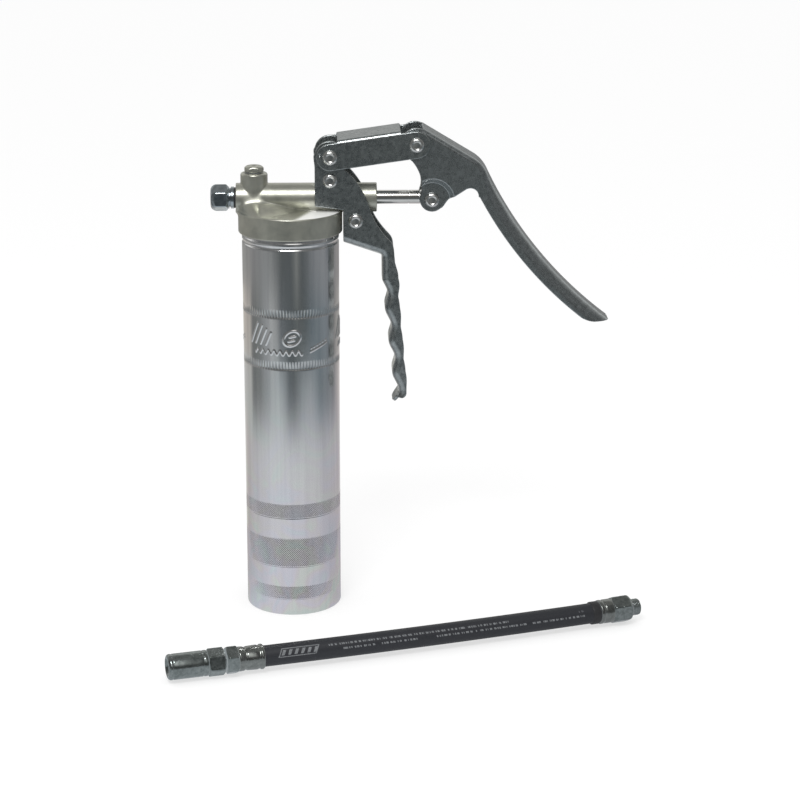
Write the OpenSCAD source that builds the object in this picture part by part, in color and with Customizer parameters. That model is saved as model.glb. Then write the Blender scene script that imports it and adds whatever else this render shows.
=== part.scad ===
// Hand-held lever grease gun with a screw-on reservoir tube and a loose high-pressure hose.
// Frame: +Z up, the reservoir axis on Z, the origin at the centre of the tube's foot.
// The pump barrel, the plunger and the levers lie in the XZ plane, with the levers on the +X side.
// All lengths are in millimetres.

/* [Reservoir] */
// Outside diameter of the reservoir tube
tube_d = 56; // [54:0.5:58]
// Wall thickness of the reservoir tube
tube_wall = 1; // [0.8:0.1:1.2]
// Height of the head's lower rim above the foot
rim_z = 227.2; // [215:0.1:240]

/* [Head casting] */
// Outside diameter of the screw cap on the casting
cap_d = 60; // [59.5:0.5:63]
// Height of the screw cap
cap_h = 12.8; // [12:0.1:14]
// Outside diameter of the pump barrel
barrel_d = 16.8; // [16:0.1:17]
// Height of the barrel's axis above the cap's top
barrel_lift = 6.8; // [6:0.1:8]
// Distance from the reservoir axis to the barrel's outlet end
barrel_left = 31; // [30:0.5:32]
// Distance from the reservoir axis to the barrel's lever end
barrel_right = 49.8; // [49:0.1:52]

/* [Pump] */
// Diameter of the plunger rod
rod_d = 8; // [7.6:0.1:8.2]
// Position along X of the pin that joins the plunger and the lever
eye_x = 81.3; // [80:0.1:83]
// Thread size of the outlet and the hose end, an M10 x 1 major diameter
thread_d = 10; // [9.8:0.1:10.2]

/* [Linkage] */
// Position along X of the link's fixed pivot
pivot_x = 23; // [22:0.1:24]
// Height of the link's fixed pivot above the barrel's axis
pivot_rise = 25.7; // [25:0.1:27]
// Distance between the link's two pivots
link_len = 49.7; // [49:0.1:50.5]
// Slope of the link at rest, in degrees
link_tilt = 8.1; // [7:0.1:9]
// Sheet thickness of the bracket, the link and the lever
sheet = 2; // [1.6:0.1:2.2]

/* [Squeeze lever] */
// Slope of the lever's straight upper back, in degrees below level
back_slope = 31; // [30:0.5:32]
// Radius of the lever's long grip curve, measured to its back
grip_curve_r = 240; // [235:1:245]
// Depth of the lever's grip channel
grip_depth = 10.5; // [9:0.5:11]

/* [Bracket grip] */
// Spacing of the finger waves on the grip
wave_pitch = 19.4; // [18:0.1:20]
// Depth of a finger wave on either side of its mean line
wave_amp = 1.3; // [0.5:0.05:1.5]

/* [Hose] */
// Outside diameter of the hose
hose_d = 12; // [11:0.1:13]
// Visible length of rubber between the end fittings
hose_len = 201.6; // [180:0.1:240]
// Radius of the gentle bend in which the hose lies
hose_bend_r = 3200; // [2500:50:5000]
// Direction in which the middle of the hose points, in degrees from X
hose_heading = 17; // [10:0.5:25]

/* [Hidden] */

// Roundness of drawn circles
$fn = 64;
// Radial gap of parts that are fixed in one another
seat = 0.02;
// Radial gap of parts that turn or slide in one another
run = 0.05;
// Overrun of a cut past the face it opens
over = 0.1;

tube_r = tube_d / 2;
tube_in_r = tube_r - tube_wall;
cap_r = cap_d / 2;
cap_z = rim_z + cap_h;
axis_z = cap_z + barrel_lift;
barrel_r = barrel_d / 2;
rod_r = rod_d / 2;
thread_r = thread_d / 2;

// Roof of the socket in the cap, and the gasket and tube end below it
roof_z = cap_z - 4;
gasket_t = 1.5;
tube_top_z = roof_z - gasket_t;
// Inward lip on which the tube stands
foot_in_r = 22;

// Stations along the barrel, from the lever end towards the outlet
guide_l = 3.8;
guide_x = barrel_right - guide_l;
collar_l = 3;
retainer_x = 15;
retainer_t = 1;
seal_l = 3;
chamber_r = 6;
chamber_x = retainer_x - seal_l;
inlet_x = -3;
pump_end_x = -20;
valve_seat_x = -23.5;
cage_x = -27.5;
neck_r = 1.6;
cage_r = 3.2;
ball_r = 2.4;
ball_x = valve_seat_x - sqrt(ball_r * ball_r - neck_r * neck_r);

// Outlet connector: its seal, the near and far faces of its hexagon, and the floor of its thread
outlet_seal_t = 1;
hex_x = -barrel_left - 4.4;
outlet_x = -barrel_left - 14.8;
outlet_floor_x = outlet_x + 9;
outlet_hex = 13.8;
neck_out_r = 6.3;
// Tapping radius of the outlet thread
outlet_thread_r = thread_r - 0.54;

// Vertical vent boss on the barrel
boss_x = -20.5;
boss_r = 7.8;
boss_top_z = axis_z + 14.6;
vent_r = 3.2;
vent_seal_t = 0.7;
vent_floor_z = axis_z + 6;
bleed_r = 0.8;

// Saddle between the barrel and the cap: its left end, its fuller part's end and its right end
saddle_left = -barrel_left;
saddle_step = -14.5;
saddle_right = 10.5;
saddle_rise = 6.4;

// Lugs for the bracket's rivets as [width, reach beyond the rivet's axis]
upper_lug = [11.4, 4.2];
lower_lug = [10, 4.4];

// Pivots as [x, z]
pivot_a = [pivot_x, axis_z + pivot_rise];
pivot_b = pivot_a + link_len * [cos(link_tilt), sin(link_tilt)];
pivot_c = [eye_x, axis_z];
upper_rivet = [23.2, axis_z + 11.5];
lower_rivet = [37.4, axis_z - 11.7];

// Domed rivet heads
head_r = 4.4;
// Half length of the holes cut across the linkage
cut_y = 20;

// Half widths of the nested channels, outer faces
bracket_y = barrel_r + 0.1 + sheet;
lever_y = 12.3;
link_y = lever_y + 0.2 + sheet;
eye_y = 6.7;
pin_r = 3;
small_pin_r = 2.5;
// Hole round the link's pin at the lever, wide because the loop is open there
open_hole_r = 4.4;
lobe_r = 7;
lobe_y = eye_y + 0.1 + sheet;

// Bracket side plate
bracket_left = 14.2;
bracket_lobe_r = 8.7;
flank_c = pivot_a + [-22.3, -42.75];
flank_r = 46.6;
plate_low = axis_z - 3.3;
plate_step = [30.5, axis_z - 5.4];
plate_foot = [30.5, axis_z - 24.8];
foot_slope = 19;
toe_c = [50.7, axis_z - 33.8];
toe_r = 2;
// Finger side of the grip, which the web closes, down to the lip that curls out at its end
wave_top = axis_z - 47.5;
wave_end = axis_z - 117.8;
wave_mid = [56.75, axis_z - 74.4];
wave_lean = 0.11;
web_lip_top = axis_z - 114.3;
web_lip_c = [59.35, web_lip_top];
web_lip_r = 3;
web_lip_heading = -126;
web_lip_l = 5.5;
web_lip_y = 7.5;
web_lip_corner_r = 4;
// Free edges of the side plates, on the palm side
edge_top = [[49.4, axis_z - 13.9], [53.6, axis_z - 19.8]];
edge_bend_c = [51.2, axis_z - 29.5];
edge_bend_r = 8.3;
edge_start = axis_z - 36;
edge_stop = axis_z - 111.8;
edge_mid = [63.85, wave_mid[1]];
edge_lean = 0.0886;
edge_amp = 0.4;
edge_shift = 7.6;
// One fuller wave near the top of the free edges, for the heel of the thumb
heel_z = axis_z - 50.2;
heel_h = 0.8;
heel_l = 5.5;
edge_end_c = [63.9, axis_z - 115.1];
edge_end_r = 3.1;

// Squeeze lever
grip_start = 205.8;
grip_end = 233.2;
grip_c = [329.6, axis_z + 119.6];
flange_a = 208;
lever_lobe_r = 9.3;
joggle_r = 12.8;
joggle_wall = 1.8;
back_fillet_r = 20.8;
back_corner = [110.8, axis_z + 20.8];
back_run = 34.2;
notch_c = [103, axis_z + 2.4];
notch_r = 4.8;
throat_c = [51.4, axis_z + 7.4];
throat_r = 24;

// Follower inside the reservoir
follower_z = rim_z - 15;
follower_plate_t = 3;
follower_rod_r = 3;
cup_floor = 2.4;
nut_h = 4;
follower_top = follower_z + follower_plate_t + cup_floor + nut_h + 1;
rod_foot_z = 4;
base_roof_z = 12;

// Hose centre line
hose_z = 8.4;
hose_mid = [80.2, -80.7];
hose_r = hose_d / 2;
liner_r = 4;
braid_r = 4.7;
bore_r = 2.6;
half_len = hose_len / 2;
// Lengths of rubber inside the end fittings
left_grip_l = 13;
right_grip_l = 9;
// Stations of the end fittings, outwards from the ends of the visible rubber
ferrule_l = 14.6;
left_hex_l = 21.5;
left_thread_l = 27;
adaptor_l = 22.3;
adaptor_end_l = 32;
mouth_l = 54.7;
right_ferrule_l = 10.5;
right_hex_l = 23.5;
right_tip_l = 28.6;
hose_hex = 14.5;
// Bore through the fittings, and the barbs inside the liner
barb_bore = 1.4;
barb_r = bore_r - 0.06;
barb_l = 8;
spigot_r = thread_r - 0.6;

// Coupler sleeve
sleeve_l = 22.7;
sleeve_r = 7.3;
mouth_r = 4;
lip_l = 3;
cavity_r = 5.35;

hose_axis_c = hose_mid + hose_bend_r * [-sin(hose_heading), cos(hose_heading)];
rad = 180 / PI;

function arc(c, r, a0, a1, n = 16) =
    [for (i = [0:n]) c + r * [cos(a0 + (a1 - a0) * i / n), sin(a0 + (a1 - a0) * i / n)]];
function reverse(list) = [for (i = [len(list) - 1:-1:0]) list[i]];
function unit(a) = [cos(a), sin(a)];

// Plates cut in the XZ plane, from y0 to y0 + t
module plate(y0, t) {
    translate([0, y0 + t, 0])
        rotate([90, 0, 0])
            linear_extrude(t)
                children();
}

// The same plate on both sides of the XZ plane, with its outer face at y
module plate_pair(y, t) {
    plate(-y, t) children();
    plate(y - t, t) children();
}

// A cylinder along X on the barrel's axis
module x_rod(x0, x1, r) {
    translate([x0, 0, axis_z])
        rotate([0, 90, 0])
            cylinder(r = r, h = x1 - x0);
}

// A cylinder along Y through the point p = [x, z]
module y_rod(p, y0, y1, r) {
    translate([p[0], y0, p[1]])
        rotate([-90, 0, 0])
            cylinder(r = r, h = y1 - y0);
}

module ring(r_out, r_in, h) {
    difference() {
        cylinder(r = r_out, h = h);
        translate([0, 0, -over]) cylinder(r = r_in, h = h + 2 * over);
    }
}

module x_ring(x0, x1, r_out, r_in) {
    translate([x0, 0, axis_z])
        rotate([0, 90, 0])
            ring(r_out, r_in, x1 - x0);
}

// A hexagonal prism along Z with turned corners
module hex_bar(across_flats, h, chamfer = 0.8) {
    corner_r = across_flats / sqrt(3);
    intersection() {
        cylinder(r = corner_r, h = h, $fn = 6);
        rotate_extrude()
            polygon([
                [0, 0], [corner_r - chamfer, 0], [corner_r, chamfer * 0.6],
                [corner_r, h - chamfer * 0.6], [corner_r - chamfer, h], [0, h],
            ]);
    }
}

// A round wire coil along Z, with both ends inside its stated length
module coil(mean_r, wire_r, length, turns, steps = 16, sides = 6) {
    count = turns * steps;
    rise = (length - 2 * wire_r) / count;
    points = [
        for (i = [0:count])
            for (j = [0:sides - 1])
                let (a = 360 * i / steps, b = 360 * j / sides, r = mean_r + wire_r * cos(b))
                    [r * cos(a), r * sin(a), wire_r + i * rise + wire_r * sin(b)]
    ];
    walls = [
        for (i = [0:count - 1])
            for (j = [0:sides - 1])
                let (k = (j + 1) % sides)
                    [i * sides + j, i * sides + k, (i + 1) * sides + k, (i + 1) * sides + j]
    ];
    first_end = [for (j = [sides - 1:-1:0]) j];
    last_end = [for (j = [0:sides - 1]) count * sides + j];
    polyhedron(points = points, faces = concat([first_end], walls, [last_end]), convexity = 10);
}

// A shank along Y with a domed, dimpled head outside each face at +-y
module rivet(p, y, shank_r) {
    head_h = 0.42 * head_r;
    ball = (head_r * head_r + head_h * head_h) / (2 * head_h);
    dimple = 0.35;
    y_rod(p, -y - over, y + over, shank_r);
    for (side = [-1, 1])
        translate([p[0], side * y, p[1]])
            rotate([-90 * side, 0, 0])
                difference() {
                    intersection() {
                        translate([0, 0, head_h - ball]) sphere(r = ball);
                        cylinder(r = head_r, h = head_h + over);
                    }
                    translate([0, 0, head_h - dimple]) cylinder(r = head_r * 0.38, h = 1);
                }
}

// ---- Reservoir ----

function band(z0, z1, depth) =
    [[tube_r, z0], [tube_r - depth, z0 + depth], [tube_r - depth, z1 - depth], [tube_r, z1]];

module reservoir_tube() {
    knurl = 0.2;
    flute = 0.3;
    groove = 0.4;
    color("gainsboro")
        rotate_extrude()
            polygon(concat(
                [[foot_in_r, 0]],
                arc([tube_r - 1, 1], 1, -90, 0, 5),
                band(9.8, 18.6, knurl),
                band(30.2, 48.3, knurl),
                band(60.6, 69.4, knurl),
                band(151.3, 156, flute),
                band(181.9, 186.6, flute),
                band(rim_z - 5.4, rim_z - 3.8, groove),
                [[tube_r, tube_top_z], [tube_in_r, tube_top_z],
                 [tube_in_r, tube_wall], [foot_in_r, tube_wall]]
            ));
}

// Pressed cup in the foot, with a recess round the pull knob
module tube_base() {
    plate_t = 1.2;
    recess_r = foot_in_r - 0.5;
    flange_z = 6;
    color("silver")
        rotate_extrude()
            polygon([
                [tube_in_r - seat, tube_wall], [tube_in_r - seat, flange_z],
                [tube_in_r - plate_t, flange_z], [tube_in_r - plate_t, tube_wall + plate_t],
                [recess_r + plate_t, tube_wall + plate_t], [recess_r + plate_t, base_roof_z + plate_t],
                [follower_rod_r + run, base_roof_z + plate_t], [follower_rod_r + run, base_roof_z],
                [recess_r, base_roof_z], [recess_r, tube_wall],
            ]);
}

module head_gasket() {
    color("dimgray")
        translate([0, 0, tube_top_z])
            ring(tube_r, tube_in_r - 2.5, gasket_t);
}

// ---- Head casting ----

// Concave flank from the barrel's side down to the cap's rim, as half a section in YZ
function flank(power, y_in, z_in, n = 8) =
    [for (i = [0:n])
        let (t = i / n)
            [y_in + (cap_r - 1 - y_in) * t, cap_z + z_in * pow(1 - t, power)]];

module saddle(x0, x1, power, height) {
    side = flank(power, barrel_r * 0.8, height);
    intersection() {
        translate([x0, 0, 0])
            rotate([90, 0, 90])
                linear_extrude(x1 - x0)
                    polygon(concat(
                        side,
                        [[cap_r - 1, cap_z - 1], [1 - cap_r, cap_z - 1]],
                        reverse([for (p = side) [-p[0], p[1]]])
                    ));
        translate([0, 0, rim_z]) cylinder(r = cap_r - 1, h = cap_h + barrel_d);
    }
}

module head_blank() {
    rim_chamfer = 1.2;
    top_chamfer = 0.8;
    rotate_extrude()
        polygon([
            [0, rim_z], [cap_r - rim_chamfer, rim_z], [cap_r, rim_z + rim_chamfer],
            [cap_r, cap_z - top_chamfer], [cap_r - top_chamfer, cap_z], [0, cap_z],
        ]);
    x_rod(-barrel_left, barrel_right, barrel_r);
    saddle(saddle_left, saddle_step, 0.75, saddle_rise);
    saddle(saddle_step - 0.5, saddle_right, 1.2, saddle_rise);
    // Vent boss, with a turned shoulder
    translate([boss_x, 0, axis_z])
        rotate_extrude()
            polygon([
                [0, 0], [boss_r, 0], [boss_r, boss_top_z - axis_z - 1],
                [boss_r - 1, boss_top_z - axis_z], [0, boss_top_z - axis_z],
            ]);
    // Lugs that carry the bracket's rivets above and below the barrel
    translate([upper_rivet[0] - upper_lug[0] / 2, -barrel_r, axis_z])
        cube([upper_lug[0], barrel_d, upper_rivet[1] + upper_lug[1] - axis_z]);
    translate([lower_rivet[0] - lower_lug[0] / 2, -barrel_r, lower_rivet[1] - lower_lug[1]])
        cube([lower_lug[0], barrel_d, axis_z - lower_rivet[1]]);
}

module pump_head() {
    color("lightgray")
        difference() {
            head_blank();
            translate([0, 0, rim_z - over])
                cylinder(r = tube_r + run, h = roof_z - rim_z + over);
            // Inlet from the reservoir
            translate([inlet_x, 0, roof_z - over]) cylinder(r = 3.5, h = axis_z - roof_z);
            // Pump bore, spring chamber and outlet valve seat
            x_rod(pump_end_x, retainer_x, rod_r + run);
            x_rod(chamber_x, barrel_right + over, chamber_r);
            x_rod(valve_seat_x - over, pump_end_x + over, neck_r);
            x_rod(cage_x - over, valve_seat_x, cage_r);
            x_rod(-barrel_left - over, cage_x, thread_r);
            // Vent hole and its bleed passage
            translate([boss_x, 0, vent_floor_z]) cylinder(r = vent_r, h = boss_top_z - axis_z);
            translate([boss_x, 0, axis_z]) cylinder(r = bleed_r, h = vent_floor_z + 1 - axis_z);
            y_rod(upper_rivet, -cut_y, cut_y, small_pin_r + seat);
            y_rod(lower_rivet, -cut_y, cut_y, small_pin_r + seat);
        }
}

module outlet_connector() {
    spring_floor_x = -33;
    color("lightsteelblue")
        difference() {
            union() {
                x_rod(-barrel_left - outlet_seal_t, cage_x - seat, thread_r - seat);
                x_rod(hex_x, -barrel_left - outlet_seal_t, neck_out_r);
                translate([outlet_x, 0, axis_z])
                    rotate([0, 90, 0])
                        hex_bar(outlet_hex, hex_x - outlet_x, 1.4);
            }
            x_rod(outlet_x - over, outlet_floor_x, outlet_thread_r);
            x_rod(outlet_floor_x - over, spring_floor_x + over, neck_r);
            x_rod(spring_floor_x, cage_x + over, cage_r);
        }
}

module outlet_seal() {
    color("black")
        x_ring(-barrel_left - outlet_seal_t, -barrel_left, neck_out_r - 0.4, thread_r + seat);
}

module check_ball() {
    color("silver")
        translate([ball_x, 0, axis_z])
            sphere(r = ball_r);
}

module check_spring() {
    spring_x = -32.9;
    color("gray")
        translate([spring_x, 0, axis_z])
            rotate([0, 90, 0])
                coil(1.9, 0.3, ball_x - 1.55 - spring_x, 4, 12, 5);
}

module vent_plug() {
    head_h = 3.4;
    shank_z = vent_floor_z + 1;
    color("lightgray")
        translate([boss_x, 0, 0]) {
            translate([0, 0, shank_z])
                cylinder(r = vent_r - seat, h = boss_top_z + vent_seal_t + over - shank_z);
            translate([0, 0, boss_top_z + vent_seal_t])
                rotate([0, 0, 30])
                    hex_bar(10, head_h, 0.9);
        }
}

module vent_seal() {
    color("silver")
        translate([boss_x, 0, boss_top_z])
            ring(5.2, vent_r + seat, vent_seal_t);
}

// ---- Pump ----

module plunger_seal() {
    color("black")
        x_ring(chamber_x + seat, retainer_x, chamber_r - seat, rod_r + run);
}

module seal_retainer() {
    color("silver")
        x_ring(retainer_x, retainer_x + retainer_t, chamber_r - seat, rod_r + 0.3);
}

module rod_guide() {
    color("goldenrod")
        x_ring(guide_x, barrel_right, chamber_r - seat, rod_r + run);
}

module return_spring() {
    x0 = retainer_x + retainer_t + over;
    color("gray")
        translate([x0, 0, axis_z])
            rotate([0, 90, 0])
                coil(5, 0.45, guide_x - collar_l - over - x0, 6, 16, 6);
}

module rod_collar() {
    color("silver")
        x_ring(guide_x - collar_l, guide_x - seat, chamber_r - 0.2, rod_r + seat);
}

module plunger_rod() {
    rod_tip_x = 2;
    color("whitesmoke")
        difference() {
            union() {
                x_rod(rod_tip_x, eye_x, rod_r);
                y_rod(pivot_c, -eye_y, eye_y, lobe_r - 0.7);
            }
            y_rod(pivot_c, -eye_y - over, eye_y + over, pin_r + seat);
        }
}

module lever_rivet() {
    color("white")
        rivet(pivot_c, lobe_y + 0.1, pin_r);
}

// ---- Bracket with the fixed grip ----

function wave_x(mid, lean, amp, z, shift = 0) =
    mid[0] + lean * (mid[1] - z) + amp * cos(360 * (z - mid[1] - shift) / wave_pitch);

function heel(z) = heel_h * exp(-pow((z - heel_z) / heel_l, 2));

// Finger side of the grip from z0 up to z1, moved inwards by d
function finger_waves(z0, z1, d = 0, steps = 40) = [
    for (i = [0:steps])
        let (z = z0 + (z1 - z0) * i / steps)
            [wave_x(wave_mid, wave_lean, wave_amp, z) + d, z]
];

// Bend at the toe and the straight run up to the foot, moved inwards by d
function toe_line(d = 0) =
    concat(arc(toe_c, toe_r + d, 0, 90 - foot_slope, 6), [plate_foot + d * unit(90 - foot_slope)]);

function free_edge(steps = 40) = concat(
    edge_top,
    arc(edge_bend_c, edge_bend_r, 40, 5, 6),
    [for (i = [0:steps])
        let (z = edge_start + (edge_stop - edge_start) * i / steps)
            [wave_x(edge_mid, edge_lean, edge_amp, z, edge_shift) + heel(z), z]],
    arc(edge_end_c, edge_end_r, 0, -90, 8)
);

module bracket_outline() {
    translate(pivot_a) circle(r = bracket_lobe_r);
    polygon(concat(
        [[bracket_left, plate_low], [bracket_left, pivot_a[1]], pivot_a],
        arc(flank_c, flank_r, 52, 12.5, 12),
        free_edge(),
        finger_waves(wave_end, wave_top),
        toe_line(),
        [plate_step]
    ));
}

module web_strip() {
    polygon(concat(
        arc(web_lip_c, web_lip_r, web_lip_heading + 90, 0, 5),
        finger_waves(web_lip_top, wave_top),
        toe_line(),
        reverse(toe_line(sheet)),
        reverse(finger_waves(web_lip_top, wave_top, sheet)),
        arc(web_lip_c, web_lip_r + sheet, 0, web_lip_heading + 90, 5)
    ));
}

// Round-ended lip that carries the web on past its last bend
module web_lip() {
    start = web_lip_c + web_lip_r * unit(web_lip_heading + 90);
    translate([start[0], 0, start[1]])
        rotate([0, -web_lip_heading, 0])
            linear_extrude(sheet) {
                translate([-over, -web_lip_y]) square([web_lip_l - web_lip_corner_r + over, 2 * web_lip_y]);
                translate([-over, web_lip_corner_r - web_lip_y])
                    square([web_lip_l + over, 2 * (web_lip_y - web_lip_corner_r)]);
                for (side = [-1, 1])
                    translate([web_lip_l - web_lip_corner_r, side * (web_lip_y - web_lip_corner_r)])
                        circle(r = web_lip_corner_r);
            }
}

module handle_bracket() {
    color("darkgray")
        difference() {
            union() {
                plate_pair(bracket_y, sheet) bracket_outline();
                plate(-bracket_y, 2 * bracket_y) web_strip();
                web_lip();
            }
            y_rod(pivot_a, -cut_y, cut_y, pin_r + seat);
            y_rod(upper_rivet, -cut_y, cut_y, small_pin_r + seat);
            y_rod(lower_rivet, -cut_y, cut_y, small_pin_r + seat);
        }
}

module bracket_rivets() {
    color("white") {
        rivet(upper_rivet, bracket_y, small_pin_r);
        rivet(lower_rivet, bracket_y, small_pin_r);
    }
}

module link_rivet() {
    color("white")
        rivet(pivot_a, link_y + 0.1, pin_r);
}

module link_washers() {
    washer_r = 5.5;
    half_t = (link_y - sheet - bracket_y) / 2 - run;
    mid_y = (link_y - sheet + bracket_y) / 2;
    color("silver")
        for (side = [-1, 1])
            difference() {
                y_rod(pivot_a, side * mid_y - half_t, side * mid_y + half_t, washer_r);
                y_rod(pivot_a, -cut_y, cut_y, pin_r + seat);
            }
}

// ---- Link ----

module link_channel() {
    end_r = 7.7;
    web_out = 9.2;
    web_start = 5.2;
    web_stop = 41.9;
    color("darkgray")
        difference() {
            union() {
                plate_pair(link_y, sheet)
                    translate(pivot_a)
                        rotate(link_tilt) {
                            circle(r = end_r);
                            translate([link_len, 0]) circle(r = end_r);
                            translate([0, -end_r]) square([link_len, 2 * end_r]);
                            translate([web_start, 0]) square([web_stop - web_start, web_out]);
                        }
                plate(-link_y, 2 * link_y)
                    translate(pivot_a)
                        rotate(link_tilt)
                            translate([web_start, web_out - sheet])
                                square([web_stop - web_start, sheet]);
            }
            y_rod(pivot_a, -cut_y, cut_y, pin_r + run);
            y_rod(pivot_b, -cut_y, cut_y, small_pin_r + seat);
        }
}

module link_lever_rivet() {
    color("white")
        rivet(pivot_b, link_y, small_pin_r);
}

// ---- Squeeze lever ----

// Back of the flat upper part: the straight run and the bend into the grip curve
function lever_back(d) =
    let (
        turn = grip_start + 90 - 360 + back_slope,
        run_in = back_fillet_r * tan(-turn / 2),
        tangent = back_corner - run_in * unit(-back_slope),
        c = tangent - back_fillet_r * unit(90 - back_slope)
    )
    concat(
        [tangent - back_run * unit(-back_slope) - d * unit(90 - back_slope)],
        arc(c, back_fillet_r - d, 90 - back_slope, 90 - back_slope + turn, 8)
    );

module lever_outline() {
    translate(pivot_b) circle(r = lever_lobe_r);
    translate(pivot_c) circle(r = lobe_r);
    polygon(concat(
        lever_back(0),
        arc(grip_c, grip_curve_r, grip_start, flange_a, 2),
        [grip_c + (grip_curve_r + grip_depth) * unit(flange_a)],
        arc(notch_c, notch_r, -5, 118, 10),
        [pivot_c + [9.5, 0.2], pivot_c + lobe_r * unit(-35), pivot_c],
        arc(throat_c, throat_r, -17, 43, 10),
        [pivot_b]
    ));
}

// Section of the grip: a channel with a rounded back, open away from the curve's centre
module grip_section() {
    corner = 7;
    difference() {
        union() {
            translate([grip_curve_r + corner, -lever_y])
                square([grip_depth - corner, 2 * lever_y]);
            translate([grip_curve_r, corner - lever_y])
                square([corner, 2 * (lever_y - corner)]);
            for (side = [-1, 1])
                translate([grip_curve_r + corner, side * (lever_y - corner)]) circle(r = corner);
        }
        translate([grip_curve_r + corner, sheet - lever_y])
            square([grip_depth + over, 2 * (lever_y - sheet)]);
        translate([grip_curve_r + sheet, corner - lever_y])
            square([corner, 2 * (lever_y - corner)]);
        for (side = [-1, 1])
            translate([grip_curve_r + corner, side * (lever_y - corner)]) circle(r = corner - sheet);
    }
}

module squeeze_lever() {
    // Cut that slopes the open side of the grip's end
    tip = grip_c + grip_curve_r * unit(grip_end);
    tip_cut = [-19, 11, -12, 0.5];
    color("darkgray")
        difference() {
            union() {
                plate_pair(lever_y, sheet)
                    difference() {
                        lever_outline();
                        translate(pivot_c) circle(r = joggle_r - joggle_wall);
                    }
                // Lobes pressed inwards to meet the plunger's eye
                plate_pair(lobe_y, sheet)
                    intersection() {
                        lever_outline();
                        translate(pivot_c) circle(r = joggle_r);
                    }
                plate_pair(lever_y, lever_y - lobe_y + sheet)
                    intersection() {
                        lever_outline();
                        translate(pivot_c)
                            difference() {
                                circle(r = joggle_r);
                                circle(r = joggle_r - joggle_wall);
                            }
                    }
                plate(-lever_y, 2 * lever_y)
                    polygon(concat(lever_back(0), reverse(lever_back(sheet))));
                translate([grip_c[0], 0, grip_c[1]])
                    rotate([90, 0, 0])
                        rotate([0, 0, grip_start])
                            rotate_extrude(angle = grip_end - grip_start, $fn = 400)
                                grip_section($fn = 48);
            }
            y_rod(pivot_b, -cut_y, cut_y, open_hole_r);
            y_rod(pivot_c, -cut_y, cut_y, pin_r + run);
            translate([tip[0] + tip_cut[0], -cut_y, tip[1] + tip_cut[2]])
                cube([tip_cut[1] - tip_cut[0], 2 * cut_y, tip_cut[3] - tip_cut[2]]);
        }
}

// ---- Follower ----

module follower_plate() {
    color("silver")
        translate([0, 0, follower_z])
            ring(tube_in_r - 1.5, follower_rod_r + seat, follower_plate_t);
}

module follower_cup() {
    lip_h = 11;
    wall = 2.4;
    r = tube_in_r - run;
    z = follower_z + follower_plate_t;
    color("black")
        rotate_extrude()
            polygon([
                [follower_rod_r + seat, z], [r - 1, z], [r, z + 1], [r, z + lip_h],
                [r - 0.8, z + lip_h], [r - wall, z + wall], [follower_rod_r + seat, z + wall],
            ]);
}

module follower_rod() {
    color("silver")
        translate([0, 0, rod_foot_z])
            cylinder(r = follower_rod_r, h = follower_top - rod_foot_z);
}

module rod_nut() {
    color("silver")
        translate([0, 0, follower_z + follower_plate_t + cup_floor])
            difference() {
                hex_bar(10, nut_h, 0.5);
                translate([0, 0, -over]) cylinder(r = follower_rod_r + seat, h = nut_h + 2 * over);
            }
}

// Pull knob, flush with the foot when the rod is home
module rod_knob() {
    r = 11;
    neck_r = 5;
    color("silver")
        rotate_extrude()
            polygon([
                [0, 0], [r - 0.6, 0], [r, 0.6], [r, 2.4], [r - 0.6, 3], [neck_r, 3.6],
                [neck_r, base_roof_z - 1], [follower_rod_r + seat, base_roof_z - 1],
                [follower_rod_r + seat, rod_foot_z - seat], [0, rod_foot_z - seat],
            ]);
}

module follower_spring() {
    z0 = base_roof_z + 1.3;
    color("gray")
        translate([0, 0, z0])
            coil(18, 1.1, follower_z - over - z0, 11, 20, 6);
}

// ---- Hose ----

// Moves a shape that runs along X to station s of the hose
module on_hose(s) {
    a = hose_heading + s / hose_bend_r * rad;
    translate([hose_axis_c[0] + hose_bend_r * sin(a), hose_axis_c[1] - hose_bend_r * cos(a), hose_z])
        rotate([0, 0, a])
            children();
}

// A bent bar or tube between two stations
module bent(s0, s1, r_out, r_in) {
    translate([hose_axis_c[0], hose_axis_c[1], hose_z])
        rotate([0, 0, hose_heading - 90 + s0 / hose_bend_r * rad])
            rotate_extrude(angle = (s1 - s0) / hose_bend_r * rad, $fn = 2000)
                translate([hose_bend_r, 0])
                    difference() {
                        circle(r = r_out, $fn = 48);
                        circle(r = r_in, $fn = 48);
                    }
}

// A turned shape about the hose's axis: points are [distance along, radius]
module turned(points) {
    rotate([0, 90, 0])
        rotate_extrude()
            polygon([for (p = points) [p[1], p[0]]]);
}

module turned_hex(across_flats, x0, x1, bore) {
    difference() {
        translate([x0, 0, 0])
            rotate([0, 90, 0])
                hex_bar(across_flats, x1 - x0, 1.2);
        translate([x0 - over, 0, 0])
            rotate([0, 90, 0])
                cylinder(r = bore, h = x1 - x0 + 2 * over);
    }
}

module hose_cover() {
    color("black")
        bent(-half_len - left_grip_l, half_len + right_grip_l, hose_r, braid_r + seat);
}

module hose_braid() {
    color("silver")
        bent(-half_len - left_grip_l, half_len + right_grip_l, braid_r, liner_r + seat);
}

module hose_liner() {
    color("black")
        bent(-half_len - left_grip_l, half_len + right_grip_l, liner_r, bore_r);
}

module hose_collar() {
    color("black")
        on_hose(half_len - 3)
            turned([
                [0, hose_r + 0.2], [0.6, hose_r + 0.7], [4.4, hose_r + 0.7], [5, hose_r + 0.2],
            ]);
}

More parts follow.
